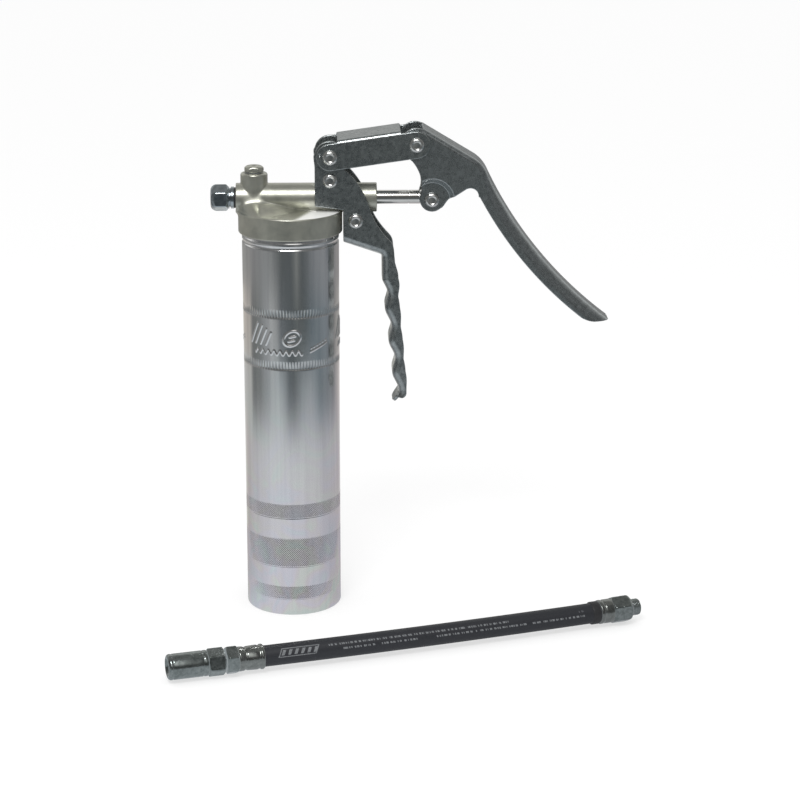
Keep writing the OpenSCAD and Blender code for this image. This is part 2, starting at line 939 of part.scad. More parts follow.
// Crimped shells over both ends of the rubber
module hose_ferrules() {
    shell = 0.9;
    end_gap = 0.6;
    in_r = hose_r + 0.15;
    out_r = in_r + shell;
    color("lightgray") {
        on_hose(-half_len)
            turned([
                [0, in_r], [0, out_r], [-4, out_r], [-4.6, out_r - 0.4], [-6.2, out_r - 0.4],
                [-6.8, out_r], [-9, out_r], [-9.6, out_r - 0.4], [-11.2, out_r - 0.4],
                [-11.8, out_r], [-ferrule_l, out_r], [-ferrule_l, bore_r + 1],
                [-left_grip_l - end_gap, bore_r + 1], [-left_grip_l - end_gap, in_r],
            ]);
        on_hose(half_len)
            turned([
                [2.4, in_r], [2.4, out_r], [right_ferrule_l, out_r], [right_ferrule_l, bore_r + 1],
                [right_grip_l + end_gap, bore_r + 1], [right_grip_l + end_gap, in_r],
            ]);
    }
}

// Threaded end that screws into the gun's outlet
module gun_end_fitting() {
    tip_r = thread_r - 0.1;
    color("lightsteelblue")
        on_hose(half_len)
            union() {
                turned([
                    [-barb_l, barb_bore], [-barb_l, barb_r - 0.3], [0.6 - barb_l, barb_r],
                    [right_ferrule_l + seat, barb_r], [right_ferrule_l + seat, barb_bore],
                ]);
                turned_hex(hose_hex, right_ferrule_l, right_hex_l, barb_bore);
                turned([
                    [right_hex_l - over, barb_bore], [right_hex_l - over, tip_r],
                    [right_tip_l - 0.6, tip_r], [right_tip_l, tip_r - 0.6], [right_tip_l, barb_bore],
                ]);
            }
}

module coupler_end_fitting() {
    color("lightsteelblue")
        on_hose(-half_len)
            union() {
                turned([
                    [barb_l, barb_bore], [barb_l, barb_r - 0.3], [barb_l - 0.6, barb_r],
                    [-ferrule_l - seat, barb_r], [-ferrule_l - seat, barb_bore],
                ]);
                turned_hex(hose_hex, -left_hex_l, -ferrule_l, barb_bore);
                turned([
                    [over - left_hex_l, barb_bore], [over - left_hex_l, spigot_r],
                    [-left_thread_l, spigot_r], [-left_thread_l, barb_bore],
                ]);
            }
}

// Rear hexagon of the coupler, which screws into the sleeve
module coupler_adaptor() {
    hex = 14;
    nose_l = 4;
    nose_r = cavity_r - run;
    color("lightsteelblue")
        on_hose(-half_len)
            union() {
                difference() {
                    turned_hex(hex, -adaptor_end_l, -adaptor_l, barb_bore);
                    translate([-left_thread_l - 0.2, 0, 0])
                        rotate([0, 90, 0])
                            cylinder(r = spigot_r + seat, h = left_thread_l);
                }
                turned([
                    [over - adaptor_end_l, barb_bore], [over - adaptor_end_l, nose_r],
                    [-adaptor_end_l - nose_l, nose_r], [-adaptor_end_l - nose_l, barb_bore],
                ]);
            }
}

// Moves a shape that runs along X to the distance x behind the coupler's mouth
module in_coupler(x) {
    on_hose(-half_len)
        translate([x - mouth_l, 0, 0])
            children();
}

module coupler_sleeve() {
    color("gainsboro")
        in_coupler(0)
            turned([
                [0, mouth_r + 0.4], [0, sleeve_r - 1.2], [1.2, sleeve_r], [sleeve_l - 0.5, sleeve_r],
                [sleeve_l, sleeve_r - 0.5], [sleeve_l, cavity_r], [lip_l, cavity_r],
                [lip_l, mouth_r], [0.4, mouth_r],
            ]);
}

// Four gripping jaws behind the mouth
module coupler_jaws() {
    jaw_l = 5.4;
    slot = 0.8;
    color("silver")
        in_coupler(lip_l + over)
            difference() {
                turned([
                    [0, 3.6], [0, cavity_r - 1.2], [1.6, cavity_r - run], [jaw_l, cavity_r - run],
                    [jaw_l, 3], [1.4, 3],
                ]);
                for (a = [45, 135])
                    rotate([a, 0, 0])
                        translate([-over, -cavity_r, -slot / 2])
                            cube([jaw_l + 2 * over, 2 * cavity_r, slot]);
            }
}

module coupler_seal() {
    color("firebrick")
        in_coupler(lip_l + 5.6)
            turned([[0, 1], [0, cavity_r - run], [3, cavity_r - run], [3, 1]]);
}

module coupler_spring() {
    color("gray")
        in_coupler(lip_l + 8.7)
            rotate([0, 90, 0])
                coil(3.6, 0.45, 6.9, 4, 12, 5);
}

reservoir_tube();
tube_base();
head_gasket();
pump_head();
outlet_connector();
outlet_seal();
check_ball();
check_spring();
vent_plug();
vent_seal();
plunger_seal();
seal_retainer();
rod_guide();
return_spring();
plunger_rod();
rod_collar();
lever_rivet();
handle_bracket();
bracket_rivets();
link_rivet();
link_washers();
link_channel();
link_lever_rivet();
squeeze_lever();
follower_plate();
follower_cup();
follower_rod();
rod_nut();
rod_knob();
follower_spring();
hose_cover();
hose_braid();
hose_liner();
hose_collar();
hose_ferrules();
gun_end_fitting();
coupler_end_fitting();
coupler_adaptor();
coupler_sleeve();
coupler_jaws();
coupler_seal();
coupler_spring();
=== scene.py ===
"""Looks of the lever grease gun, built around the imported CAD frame."""
import math

import bpy
import numpy as np
from mathutils import Matrix, Vector


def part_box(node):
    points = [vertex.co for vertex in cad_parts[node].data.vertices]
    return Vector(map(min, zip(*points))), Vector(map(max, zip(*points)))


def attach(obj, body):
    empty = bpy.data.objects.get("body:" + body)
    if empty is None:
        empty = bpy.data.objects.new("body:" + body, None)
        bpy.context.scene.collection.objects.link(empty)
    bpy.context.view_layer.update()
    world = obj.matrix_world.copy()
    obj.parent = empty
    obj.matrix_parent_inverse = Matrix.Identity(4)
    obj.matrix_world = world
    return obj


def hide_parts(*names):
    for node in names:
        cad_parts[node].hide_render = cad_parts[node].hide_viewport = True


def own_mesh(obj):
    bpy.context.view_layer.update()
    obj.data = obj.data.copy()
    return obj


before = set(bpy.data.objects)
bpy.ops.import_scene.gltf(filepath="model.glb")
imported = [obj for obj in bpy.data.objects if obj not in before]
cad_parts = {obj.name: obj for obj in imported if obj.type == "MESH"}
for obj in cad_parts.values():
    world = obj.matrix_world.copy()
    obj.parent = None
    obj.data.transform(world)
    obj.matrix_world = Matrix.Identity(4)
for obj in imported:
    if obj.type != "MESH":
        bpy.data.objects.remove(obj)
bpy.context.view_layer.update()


# ---- Sizes, in millimetres ----

def box(node):
    low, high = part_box(node)
    return np.array(low) * 1000, np.array(high) * 1000


def centre(node):
    low, high = box(node)
    return (low + high) / 2


tube_r = box("reservoir_tube")[1][0]
head_low, head_high = box("pump_head")
cap_r = head_high[1]
rim_z = head_low[2]
boss_top_z = box("vent_seal")[0][2]
cap_z = rim_z + 12.8
roof_z = cap_z - 4
barrel_left, barrel_right = head_low[0], head_high[0]
axis_z = centre("rod_guide")[2]
barrel_r = 8.4
boss_x = centre("vent_seal")[0]
pivot_a = centre("link_rivet")[[0, 2]]
pivot_b = centre("link_lever_rivet")[[0, 2]]
pivot_c = centre("lever_rivet")[[0, 2]]
rivet_low, rivet_high = box("bracket_rivets")
rivet_r = 4.2
upper_rivet = np.array([rivet_low[0] + rivet_r, rivet_high[2] - rivet_r])
lower_rivet = np.array([rivet_high[0] - rivet_r, rivet_low[2] + rivet_r])
sheet = 2.0
bracket_y = box("handle_bracket")[1][1]
link_y = box("link_channel")[1][1]
lever_y = box("squeeze_lever")[1][1]
lobe_y = 8.8
tilt = math.degrees(math.atan2(*(pivot_b - pivot_a)[::-1]))
link_len = float(np.hypot(*(pivot_b - pivot_a)))
rod_r = 4.0
hose_r = 6.0
hose_z = centre("hose_collar")[2]
hose_mid = np.array([80.2, -80.7])
hose_bend_r = 3200.0
hose_heading = 17.0
half_len = 100.8
SNUG = 2.52  # radius of a hole round a small rivet's shank


# ---- Shapes as distance fields ----

def unit(deg):
    return np.array([math.cos(math.radians(deg)), math.sin(math.radians(deg))])


def arc(c, r, a0, a1, n=24):
    return [np.asarray(c) + r * unit(a0 + (a1 - a0) * i / n) for i in range(n + 1)]


def both(a, b, r):
    """Intersection of two solids, with a round of radius r on their common edge."""
    u, v = np.maximum(a + r, 0), np.maximum(b + r, 0)
    return np.minimum(-r, np.maximum(a, b)) + np.sqrt(u * u + v * v)


def either(a, b, k):
    """Union of two solids, with a fillet about k wide in their common corner."""
    h = np.maximum(k - np.abs(a - b), 0) / k
    return np.minimum(a, b) - h * h * k * 0.25


def less(a, b, r):
    return both(a, -b, r)


def reach(x, z, p):
    """Distance from a point p of the side view."""
    return np.sqrt((x - p[0]) ** 2 + (z - p[1]) ** 2)


def smooth(t):
    t = np.clip(t, 0, 1)
    return t * t * (3 - 2 * t)


class Outline:
    """Distance to a polygon in a plane, kept on a fine grid."""

    def __init__(self, points, low, high, step=0.2):
        self.low, self.step = np.array(low, float), step
        u = np.arange(low[0], high[0] + step, step)
        v = np.arange(low[1], high[1] + step, step)
        x, z = u[:, None], v[None, :]
        p = np.array(points, float)
        far = np.full((len(u), len(v)), 1e9)
        inside = np.zeros((len(u), len(v)), bool)
        for (ax, az), (bx, bz) in zip(p, np.roll(p, -1, axis=0)):
            ex, ez = bx - ax, bz - az
            long2 = ex * ex + ez * ez
            if long2 < 1e-12:
                continue
            wx, wz = x - ax, z - az
            t = np.clip((wx * ex + wz * ez) / long2, 0, 1)
            far = np.minimum(far, (wx - ex * t) ** 2 + (wz - ez * t) ** 2)
            if az != bz:
                inside ^= ((az <= z) != (bz <= z)) & (wx < ex * wz / ez)
        self.grid = np.where(inside, -np.sqrt(far), np.sqrt(far))

    def __call__(self, x, z):
        n = np.array(self.grid.shape)
        u = np.clip((x - self.low[0]) / self.step, 0, n[0] - 1.001)
        v = np.clip((z - self.low[1]) / self.step, 0, n[1] - 1.001)
        i, j = u.astype(int), v.astype(int)
        fu, fv = u - i, v - j
        g = self.grid
        return (
            g[i, j] * (1 - fu) * (1 - fv) + g[i + 1, j] * fu * (1 - fv)
            + g[i, j + 1] * (1 - fu) * fv + g[i + 1, j + 1] * fu * fv
        )


CORNERS = np.array([[i, j, k] for i in (0, 1) for j in (0, 1) for k in (0, 1)])
EDGES = [(a, b) for a in range(8) for b in range(a + 1, 8) if np.abs(CORNERS[a] - CORNERS[b]).sum() == 1]


def gradient(field, p, e=0.03):
    g = np.empty_like(p)
    for i in range(3):
        d = np.zeros(3)
        d[i] = e
        a, b = p + d, p - d
        g[:, i] = (field(a[:, 0], a[:, 1], a[:, 2]) - field(b[:, 0], b[:, 1], b[:, 2])) / (2 * e)
    return g


def surface(field, low, high, step):
    """A closed quad mesh on the zero level of a distance field, with its normals."""
    low, high = np.array(low, float) - 1.7 * step, np.array(high, float) + 1.7 * step
    n = np.ceil((high - low) / step).astype(int) + 1
    x, y, z = [low[i] + step * np.arange(n[i]) for i in range(3)]
    d = np.broadcast_to(field(x[:, None, None], y[None, :, None], z[None, None, :]), n).astype(np.float32)
    full = (d < 0)
    c = np.zeros(n - 1, np.uint8)
    for i, j, k in CORNERS:
        c += full[i:n[0] - 1 + i, j:n[1] - 1 + j, k:n[2] - 1 + k]
    cells = np.argwhere((c > 0) & (c < 8))
    index = np.full(n - 1, -1, np.int32)
    index[tuple(cells.T)] = np.arange(len(cells))
    value = np.stack([d[tuple((cells + o).T)] for o in CORNERS])
    total, count = np.zeros((len(cells), 3)), np.zeros(len(cells))
    for a, b in EDGES:
        hit = (value[a] < 0) != (value[b] < 0)
        t = value[a] / np.where(hit, value[a] - value[b], 1)
        at = CORNERS[a] + t[:, None] * (CORNERS[b] - CORNERS[a])
        total += np.where(hit[:, None], at, 0)
        count += hit
    p = low + step * (cells + total / count[:, None])
    quads = []
    for axis in range(3):
        u, v = (axis + 1) % 3, (axis + 2) % 3
        s0, s1 = [slice(1, -1)] * 3, [slice(1, -1)] * 3
        s0[axis], s1[axis] = slice(0, n[axis] - 1), slice(1, n[axis])
        a, b = full[tuple(s0)], full[tuple(s1)]
        at = np.argwhere(a != b)
        sign = a[tuple(at.T)]
        at[:, u] += 1
        at[:, v] += 1
        du, dv = np.zeros(3, int), np.zeros(3, int)
        du[u], dv[v] = 1, 1
        ring = [index[tuple((at - o).T)] for o in (du + dv, dv, 0 * du, du)]
        quad = np.stack(ring, axis=1)
        quad[~sign] = quad[~sign][:, ::-1]
        quads.append(quad)
    for _ in range(3):
        g = gradient(field, p)
        f = field(p[:, 0], p[:, 1], p[:, 2])
        move = g * (f / np.maximum((g * g).sum(1), 0.05))[:, None]
        long = np.linalg.norm(move, axis=1, keepdims=True)
        p -= move * np.minimum(1, 0.4 * step / np.maximum(long, 1e-9))
    g = gradient(field, p, 0.06)
    return p, np.concatenate(quads), g / np.maximum(np.linalg.norm(g, axis=1, keepdims=True), 1e-9)


# ---- Meshes ----

def mesh_object(name, points, faces, normals=None, sharp=None):
    mesh = bpy.data.meshes.new(name)
    if isinstance(faces, np.ndarray):
        width = faces.shape[1]
        mesh.vertices.add(len(points))
        mesh.vertices.foreach_set("co", (np.asarray(points) * 0.001).astype(np.float32).ravel())
        mesh.loops.add(faces.size)
        mesh.loops.foreach_set("vertex_index", faces.astype(np.int32).ravel())
        mesh.polygons.add(len(faces))
        mesh.polygons.foreach_set("loop_start", np.arange(0, faces.size, width, dtype=np.int32))
        mesh.update(calc_edges=True)
    else:
        mesh.from_pydata([tuple(float(c) * 0.001 for c in p) for p in points], [], [list(f) for f in faces])
    mesh.validate()
    mesh.polygons.foreach_set("use_smooth", np.ones(len(mesh.polygons), bool))
    if sharp:
        mesh.set_sharp_from_angle(angle=math.radians(sharp))
    if normals is not None:
        mesh.normals_split_custom_set_from_vertices(normals.tolist())
    obj = bpy.data.objects.new(name, mesh)
    bpy.context.scene.collection.objects.link(obj)
    return obj


def move_local(points, place, normals=None):
    """Points drawn along local X, taken to place = (origin, heading in degrees about Z)."""
    o, a = place
    c, s = math.cos(math.radians(a)), math.sin(math.radians(a))
    r = np.array([[c, -s, 0], [s, c, 0], [0, 0, 1]])
    moved = points @ r.T + np.array(o)
    return moved if normals is None else (moved, normals @ r.T)


def carve(name, field, low, high, step, place=None):
    p, faces, normals = surface(field, low, high, step)
    if place:
        p, normals = move_local(p, place, normals)
    return mesh_object(name, p, faces, normals)


def soften(profile, r, n=4):
    """Rounds the inner corners of an open line of points."""
    p = [np.array(q, float) for q in profile]
    out = [p[0]]
    for a, b, c in zip(p, p[1:], p[2:]):
        u, v = a - b, c - b
        lu, lv = np.linalg.norm(u), np.linalg.norm(v)
        cut = min(r, 0.45 * lu, 0.45 * lv)
        s, e = b + u / lu * cut, b + v / lv * cut
        out += [(1 - t) ** 2 * s + 2 * t * (1 - t) * b + t * t * e for t in np.linspace(0, 1, n)]
    return out + [p[-1]]


def turn(profile, segments=96, closed=True):
    """Points and faces of a line of (along, radius) revolved about local X; closed joins its ends."""
    n = len(profile)
    a = np.arange(segments) * 2 * math.pi / segments
    points, rings = [], []
    for x, r in profile:
        if r < 1e-6:
            rings.append([len(points)])
            points.append((x, 0, 0))
        else:
            rings.append(list(range(len(points), len(points) + segments)))
            points += [(x, r * math.cos(t), r * math.sin(t)) for t in a]
    faces = []
    for i in range(n if closed else n - 1):
        p, q = rings[i], rings[(i + 1) % n]
        if len(p) == 1 and len(q) == 1:
            continue
        for k in range(segments):
            m = (k + 1) % segments
            if len(p) == 1:
                faces.append((p[0], q[m], q[k]))
            elif len(q) == 1:
                faces.append((p[k], p[m], q[0]))
            else:
                faces.append((p[k], p[m], q[m], q[k]))
    return np.array(points), faces


def oriented(points, faces):
    """Turns the faces outwards if the mesh encloses a negative volume."""
    p = np.asarray(points)
    volume = sum(
        np.dot(p[f[0]], np.cross(p[f[i]], p[f[i + 1]])) for f in faces for i in range(1, len(f) - 1))
    return [tuple(reversed(f)) for f in faces] if volume < 0 else faces


def lathe(name, profile, place=None, axis="x", at=(0, 0, 0), segments=96, sharp=32, closed=True):
    points, faces = turn(profile, segments, closed)
    faces = oriented(points, faces)
    if axis == "z":
        points = points[:, [1, 2, 0]]
    if axis == "y":
        points = points[:, [2, 0, 1]]
    points = points + np.array(at, float)
    if place:
        points = move_local(points, place)
    return mesh_object(name, points, faces, sharp=sharp)


def joined(name, parts):
    """One object from several."""
    with bpy.context.temp_override(active_object=parts[0], selected_editable_objects=parts):
        bpy.ops.object.join()
    parts[0].name = name
    return parts[0]


def wire(name, path, r, sides=12, place=None):
    """A round wire along a line of points, with rounded ends."""
    p = np.array(path, float)
    t = np.gradient(p, axis=0)
    t /= np.linalg.norm(t, axis=1, keepdims=True)
    across = np.cross(t, p * [0, 1, 1] + [0, 1e-9, 0])
    across /= np.linalg.norm(across, axis=1, keepdims=True)
    out = np.cross(across, t)
    ring = np.arange(sides) * 2 * math.pi / sides
    radii = np.full(len(p), r)
    radii[[0, -1]] = 0.55 * r
    body = p[:, None] + radii[:, None, None] * (
        np.cos(ring)[None, :, None] * out[:, None] + np.sin(ring)[None, :, None] * across[:, None]
    )
    points = body.reshape(-1, 3)
    faces = [
        (i * sides + j, i * sides + (j + 1) % sides, (i + 1) * sides + (j + 1) % sides, (i + 1) * sides + j)
        for i in range(len(p) - 1)
        for j in range(sides)
    ]
    faces += [tuple(reversed(range(sides))), tuple((len(p) - 1) * sides + j for j in range(sides))]
    faces = oriented(points, faces)
    if place:
        points = move_local(points, place)
    return mesh_object(name, points, faces, sharp=60)


def coil(name, mean_r, r, x0, x1, turns, axis, at, place=None, sides=12, steps=40):
    """A compression spring along local X with a closed turn at each end."""
    t = np.linspace(0, 1, int((turns + 2) * steps) + 1)
    whole = (turns + 2) * t
    dead = 2.1 * r
    mid = np.clip((whole - 1) / turns, 0, 1)
    pitch = (x1 - x0 - 2 * r) - 2 * dead
    x = x0 + r + np.minimum(whole, 1) * dead + mid * pitch + np.maximum(whole - turns - 1, 0) * dead
    a = 2 * math.pi * whole
    path = np.stack([x, mean_r * np.cos(a), mean_r * np.sin(a)], axis=1)
    obj = wire(name, path, r, sides, place)
    if axis == "z":
        co = np.array([v.co for v in obj.data.vertices])[:, [1, 2, 0]]
        obj.data.vertices.foreach_set("co", co.astype(np.float32).ravel())
    co = np.array([v.co for v in obj.data.vertices]) + np.array(at, float) * 0.001
    obj.data.vertices.foreach_set("co", co.astype(np.float32).ravel())
    obj.data.update()
    return obj


# ---- Materials ----

def node(tree, kind, inputs=None, **props):
    n = tree.nodes.new(kind)
    for key, value in props.items():
        setattr(n, key, value)
    for key, value in (inputs or {}).items():
        if isinstance(value, bpy.types.NodeSocket):
            tree.links.new(value, n.inputs[key])
        else:
            n.inputs[key].default_value = value
    return n


def calc(tree, operation, a, b=0.0, c=0.0):
    return node(tree, "ShaderNodeMath", {0: a, 1: b, 2: c}, operation=operation).outputs[0]


def times(tree, a, b):
    return calc(tree, "MULTIPLY", a, b)


def minus(tree, a, b):
    return calc(tree, "SUBTRACT", a, b)


def mix(tree, factor, a, b):
    n = node(tree, "ShaderNodeMix", {"Factor": factor}, data_type="RGBA")
    for key, value in ((6, a), (7, b)):
        if isinstance(value, bpy.types.NodeSocket):
            tree.links.new(value, n.inputs[key])
        else:
            n.inputs[key].default_value = value
    return n.outputs[2]


def noise(tree, scale, detail=3.0, stretch=(1, 1, 1), rough=0.55, distortion=0.0):
    """Noise in object space; scale is in cells per millimetre."""
    at = node(tree, "ShaderNodeTexCoord").outputs["Object"]
    at = node(tree, "ShaderNodeMapping", {"Vector": at, "Scale": tuple(1000 * s for s in stretch)}).outputs[0]
    return node(
        tree, "ShaderNodeTexNoise",
        {"Vector": at, "Scale": scale, "Detail": detail, "Roughness": rough, "Distortion": distortion},
    ).outputs["Fac"]


def spread(tree, value, low, high, a, b):
    return node(
        tree, "ShaderNodeMapRange",
        {"Value": value, "From Min": low, "From Max": high, "To Min": a, "To Max": b},
    ).outputs[0]


def start(name):
    m = bpy.data.materials.new(name)
    m.use_nodes = True
    tree = m.node_tree
    return m, tree, tree.nodes["Principled BSDF"]


def plug(tree, bsdf, **inputs):
    for key, value in inputs.items():
        key = key.replace("_", " ")
        if isinstance(value, bpy.types.NodeSocket):
            tree.links.new(value, bsdf.inputs[key])
        else:
            bsdf.inputs[key].default_value = value


def rgb(r, g, b):
    return (r, g, b, 1.0)


def metal(name, light, dark, rough, patch=0.12, grain=3.0, bump=0.004, vary=0.08,
          brushed=(1, 1, 1), bare=1.0):
    """Bare or plated metal: patches of two tones, uneven roughness and a fine grain."""
    m, tree, bsdf = start(name)
    patches = noise(tree, patch, 4, rough=0.6, distortion=0.4)
    tone = mix(tree, spread(tree, patches, 0.35, 0.65, 0, 1), rgb(*dark), rgb(*light))
    fine = noise(tree, grain, 2, stretch=brushed)
    wear = calc(tree, "ADD", times(tree, patches, 0.6), times(tree, fine, 0.4))
    shade = node(tree, "ShaderNodeBump", {"Height": fine, "Strength": 0.5, "Distance": bump * 0.001})
    plug(
        tree, bsdf, Base_Color=tone, Metallic=bare, Normal=shade.outputs[0],
        Roughness=spread(tree, wear, 0.3, 0.7, max(rough - vary, 0.02), rough + vary),
    )
    return m


def casting():
    """Dull cast skin, with a painted highlight: the flat top face beside the barrel is painted near-white and less
    metallic to stand for the strong light on it.
    """
    m = metal("cast_metal", (0.56, 0.56, 0.49), (0.45, 0.455, 0.40), 0.34, 0.12, 3.0, 0.012, 0.06, bare=0.88)
    tree = m.node_tree
    bsdf = tree.nodes["Principled BSDF"]
    geometry = node(tree, "ShaderNodeNewGeometry").outputs
    at = node(tree, "ShaderNodeTexCoord").outputs["Object"]
    at = node(tree, "ShaderNodeSeparateXYZ", {"Vector": at}).outputs
    up = node(tree, "ShaderNodeSeparateXYZ", {"Vector": geometry["Normal"]}).outputs[2]
    reach = minus(tree, calc(tree, "ABSOLUTE", at[1]), 0.008)
    along = calc(tree, "ADD", at[0], times(tree, reach, 0.38))
    level = spread(tree, calc(tree, "ABSOLUTE", minus(tree, at[2], cap_z * 0.001)), 0.0005, 0.0009, 1, 0)
    # Painted highlight: the upward face at the cap's top, right of the scoop, is painted near-white.
    painted_top_highlight = times(tree, spread(tree, up, 0.93, 0.985, 0, 1), level)
    painted_top_highlight = times(tree, painted_top_highlight, spread(tree, along, 0.0095, 0.013, 0, 1))
    dull = bsdf.inputs["Base Color"].links[0].from_socket
    plug(tree, bsdf, Base_Color=mix(tree, painted_top_highlight, dull, rgb(0.93, 0.93, 0.91)),
         Metallic=spread(tree, painted_top_highlight, 0, 1, 0.88, 0.15))
    return m


def soft(name, colour, rough=0.6, grain=2.0, bump=0.02):
    m, tree, bsdf = start(name)
    fine = noise(tree, grain, 3)
    tone = mix(tree, spread(tree, fine, 0.3, 0.7, 0, 1), rgb(*[c * 0.8 for c in colour]), rgb(*colour))
    shade = node(tree, "ShaderNodeBump", {"Height": fine, "Strength": 0.5, "Distance": bump * 0.001})
    plug(tree, bsdf, Base_Color=tone, Roughness=spread(tree, fine, 0.3, 0.7, rough - 0.06, rough + 0.06),
         Normal=shade.outputs[0])
    return m


def tube_metal():
    """Bright plating with faint drawn streaks along the tube and a blush of colour low down."""
    m, tree, bsdf = start("bright_tube")
    at = node(tree, "ShaderNodeTexCoord").outputs["Object"]
    z = node(tree, "ShaderNodeSeparateXYZ", {"Vector": at}).outputs[2]
    low = spread(tree, z, 0.16, 0.02, 0.0, 0.30)
    streak = noise(tree, 0.35, 2, stretch=(1, 1, 0.03))
    hue = node(
        tree, "ShaderNodeHueSaturation",
        {"Hue": spread(tree, noise(tree, 0.035, 2, distortion=1.5), 0.3, 0.7, 0.0, 1.0),
         "Color": rgb(1.0, 0.80, 0.88)},
    ).outputs[0]
    tone = mix(tree, spread(tree, streak, 0.3, 0.7, 0, 1), rgb(0.80, 0.80, 0.81), rgb(0.90, 0.90, 0.90))
    tone = mix(tree, low, tone, hue)
    fine = noise(tree, 1.5, 3)
    waves = noise(tree, 0.08, 2, stretch=(1, 1, 0.2))
    shade = node(tree, "ShaderNodeBump", {"Height": waves, "Strength": 0.35, "Distance": 0.00012})
    plug(tree, bsdf, Base_Color=tone, Metallic=1.0, Normal=shade.outputs[0],
         Roughness=spread(tree, fine, 0.3, 0.7, 0.11, 0.19))
    return m


def hose_print():
    """Matt rubber with woven marks and pale strokes along one side; the UV map is in millimetres."""
    m, tree, bsdf = start("hose_rubber")
    uv = node(tree, "ShaderNodeUVMap", uv_map="along").outputs[0]
    part = node(tree, "ShaderNodeSeparateXYZ", {"Vector": uv})
    u, v = part.outputs[0], part.outputs[1]

    def between(value, a, b):
        return times(tree, calc(tree, "GREATER_THAN", value, a), calc(tree, "LESS_THAN", value, b))

    def row(mid, high, dash, seed):
        """Broken strokes in a narrow row, gathered into short and long runs."""
        lean = calc(tree, "ADD", u, times(tree, v, 0.25))
        line = node(tree, "ShaderNodeCombineXYZ", {0: times(tree, lean, dash), 1: seed}).outputs[0]
        fine = node(tree, "ShaderNodeTexNoise", {"Vector": line, "Scale": 1.0, "Detail": 1.0}).outputs["Fac"]
        run = node(tree, "ShaderNodeCombineXYZ", {0: times(tree, u, 0.09), 1: seed + 7.0}).outputs[0]
        cell = node(tree, "ShaderNodeVectorMath", {0: run}, operation="FLOOR").outputs[0]
        group = node(tree, "ShaderNodeTexWhiteNoise", {"Vector": cell}, noise_dimensions="3D").outputs[0]
        on = times(tree, calc(tree, "GREATER_THAN", fine, 0.50), calc(tree, "GREATER_THAN", group, 0.25))
        return times(tree, on, between(v, mid - high, mid + high))

    ink = calc(tree, "MAXIMUM", row(0.9, 0.55, 0.85, 3.0), row(-1.9, 0.55, 0.75, 11.0))
    ink = times(tree, ink, between(u, -64.0, 92.0))
    lean = minus(tree, u, times(tree, v, 0.45))
    plate = times(tree, between(lean, -92.0, -70.0), between(v, -3.0, 2.2))
    inside = times(tree, between(lean, -91.4, -70.6), between(v, -2.5, 1.7))
    bars = calc(tree, "GREATER_THAN", calc(tree, "FRACT", times(tree, lean, 0.27)), 0.52)
    bars = times(tree, bars, between(v, -1.9, 1.1))
    badge = minus(tree, plate, times(tree, inside, minus(tree, 1.0, bars)))
    ink = calc(tree, "MAXIMUM", ink, badge)
    worn = spread(tree, noise(tree, 2.2, 3), 0.35, 0.6, 0.35, 0.85)
    ink = times(tree, ink, worn)
    weave = node(tree, "ShaderNodeTexWave", {"Vector": uv, "Scale": 0.55, "Distortion": 0.6, "Detail": 1.0},
                 bands_direction="DIAGONAL").outputs["Fac"]
    fine = noise(tree, 2.5, 3)
    tone = mix(tree, fine, rgb(0.012, 0.013, 0.017), rgb(0.022, 0.024, 0.030))
    tone = mix(tree, ink, tone, rgb(0.21, 0.22, 0.23))
    height = calc(tree, "ADD", times(tree, weave, 0.6), fine)
    shade = node(tree, "ShaderNodeBump", {"Height": height, "Strength": 0.45, "Distance": 0.00004})
    plug(tree, bsdf, Base_Color=tone, Roughness=spread(tree, fine, 0.3, 0.7, 0.42, 0.56),
         Normal=shade.outputs[0])
    return m


FINISH = {
    "bright_tube": tube_metal(),
    "cast_metal": casting(),
    "zinc_sheet": metal("zinc_sheet", (0.47, 0.50, 0.50), (0.31, 0.335, 0.34), 0.28, 0.45, 1.6, 0.008, 0.05,
                        bare=0.98),
    # Lever copy of zinc_sheet with lighter dark patches: painted light, standing in for the brighter light the lever
    # catches.
    "zinc_lever_painted_lighter": metal("zinc_lever_painted_lighter", (0.46, 0.49, 0.50), (0.34, 0.365, 0.37), 0.28, 0.45, 1.6, 0.008, 0.05,
                        bare=0.98),
    "rivet_metal": metal("rivet_metal", (0.80, 0.80, 0.78), (0.66, 0.66, 0.65), 0.20, 0.5, 4.0, 0.004, 0.04),
    "polished_rod": metal("polished_rod", (0.84, 0.83, 0.80), (0.78, 0.77, 0.74), 0.10, 0.2, 3.0, 0.002, 0.03,
                          brushed=(0.1, 1, 1)),
    "blue_zinc": metal("blue_zinc", (0.50, 0.55, 0.58), (0.36, 0.40, 0.42), 0.19, 0.3, 2.5, 0.006, 0.05),
    "hose_zinc": metal("hose_zinc", (0.33, 0.36, 0.355), (0.22, 0.245, 0.24), 0.20, 0.4, 2.5, 0.008, 0.05),
    "crimp_steel": metal("crimp_steel", (0.32, 0.335, 0.32), (0.23, 0.24, 0.23), 0.22, 0.3, 2.5, 0.008, 0.05),
    "spring_steel": metal("spring_steel", (0.50, 0.50, 0.50), (0.40, 0.40, 0.41), 0.28, 0.5, 4.0),
    "inner_steel": metal("inner_steel", (0.62, 0.63, 0.64), (0.50, 0.51, 0.52), 0.30, 0.3, 3.0),
    "bush_brass": metal("bush_brass", (0.80, 0.60, 0.30), (0.68, 0.50, 0.25), 0.26, 0.3, 3.0),
    "black_rubber": soft("black_rubber", (0.020, 0.020, 0.022), 0.5),
    "seal_rubber": soft("seal_rubber", (0.30, 0.030, 0.022), 0.5),
}
HOSE_RUBBER = hose_print()


def add(obj, body, finish, *nodes, material=None):
    """Gives a piece its finish and the CAD body it rides on."""
    obj.data.materials.clear()
    obj.data.materials.append(material or FINISH[finish])
    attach(obj, body)
    if nodes:
        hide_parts(*nodes)
    obj.visible_glossy = body != "hose"
    return obj


def carve_node(name, field, step, body, finish, cad_node):
    """Carves the piece that stands for a CAD node, inside the node's box."""
    low, high = box(cad_node)
    add(carve(name, field, low, high, step), body, finish, cad_node)


# ---- Reservoir tube ----

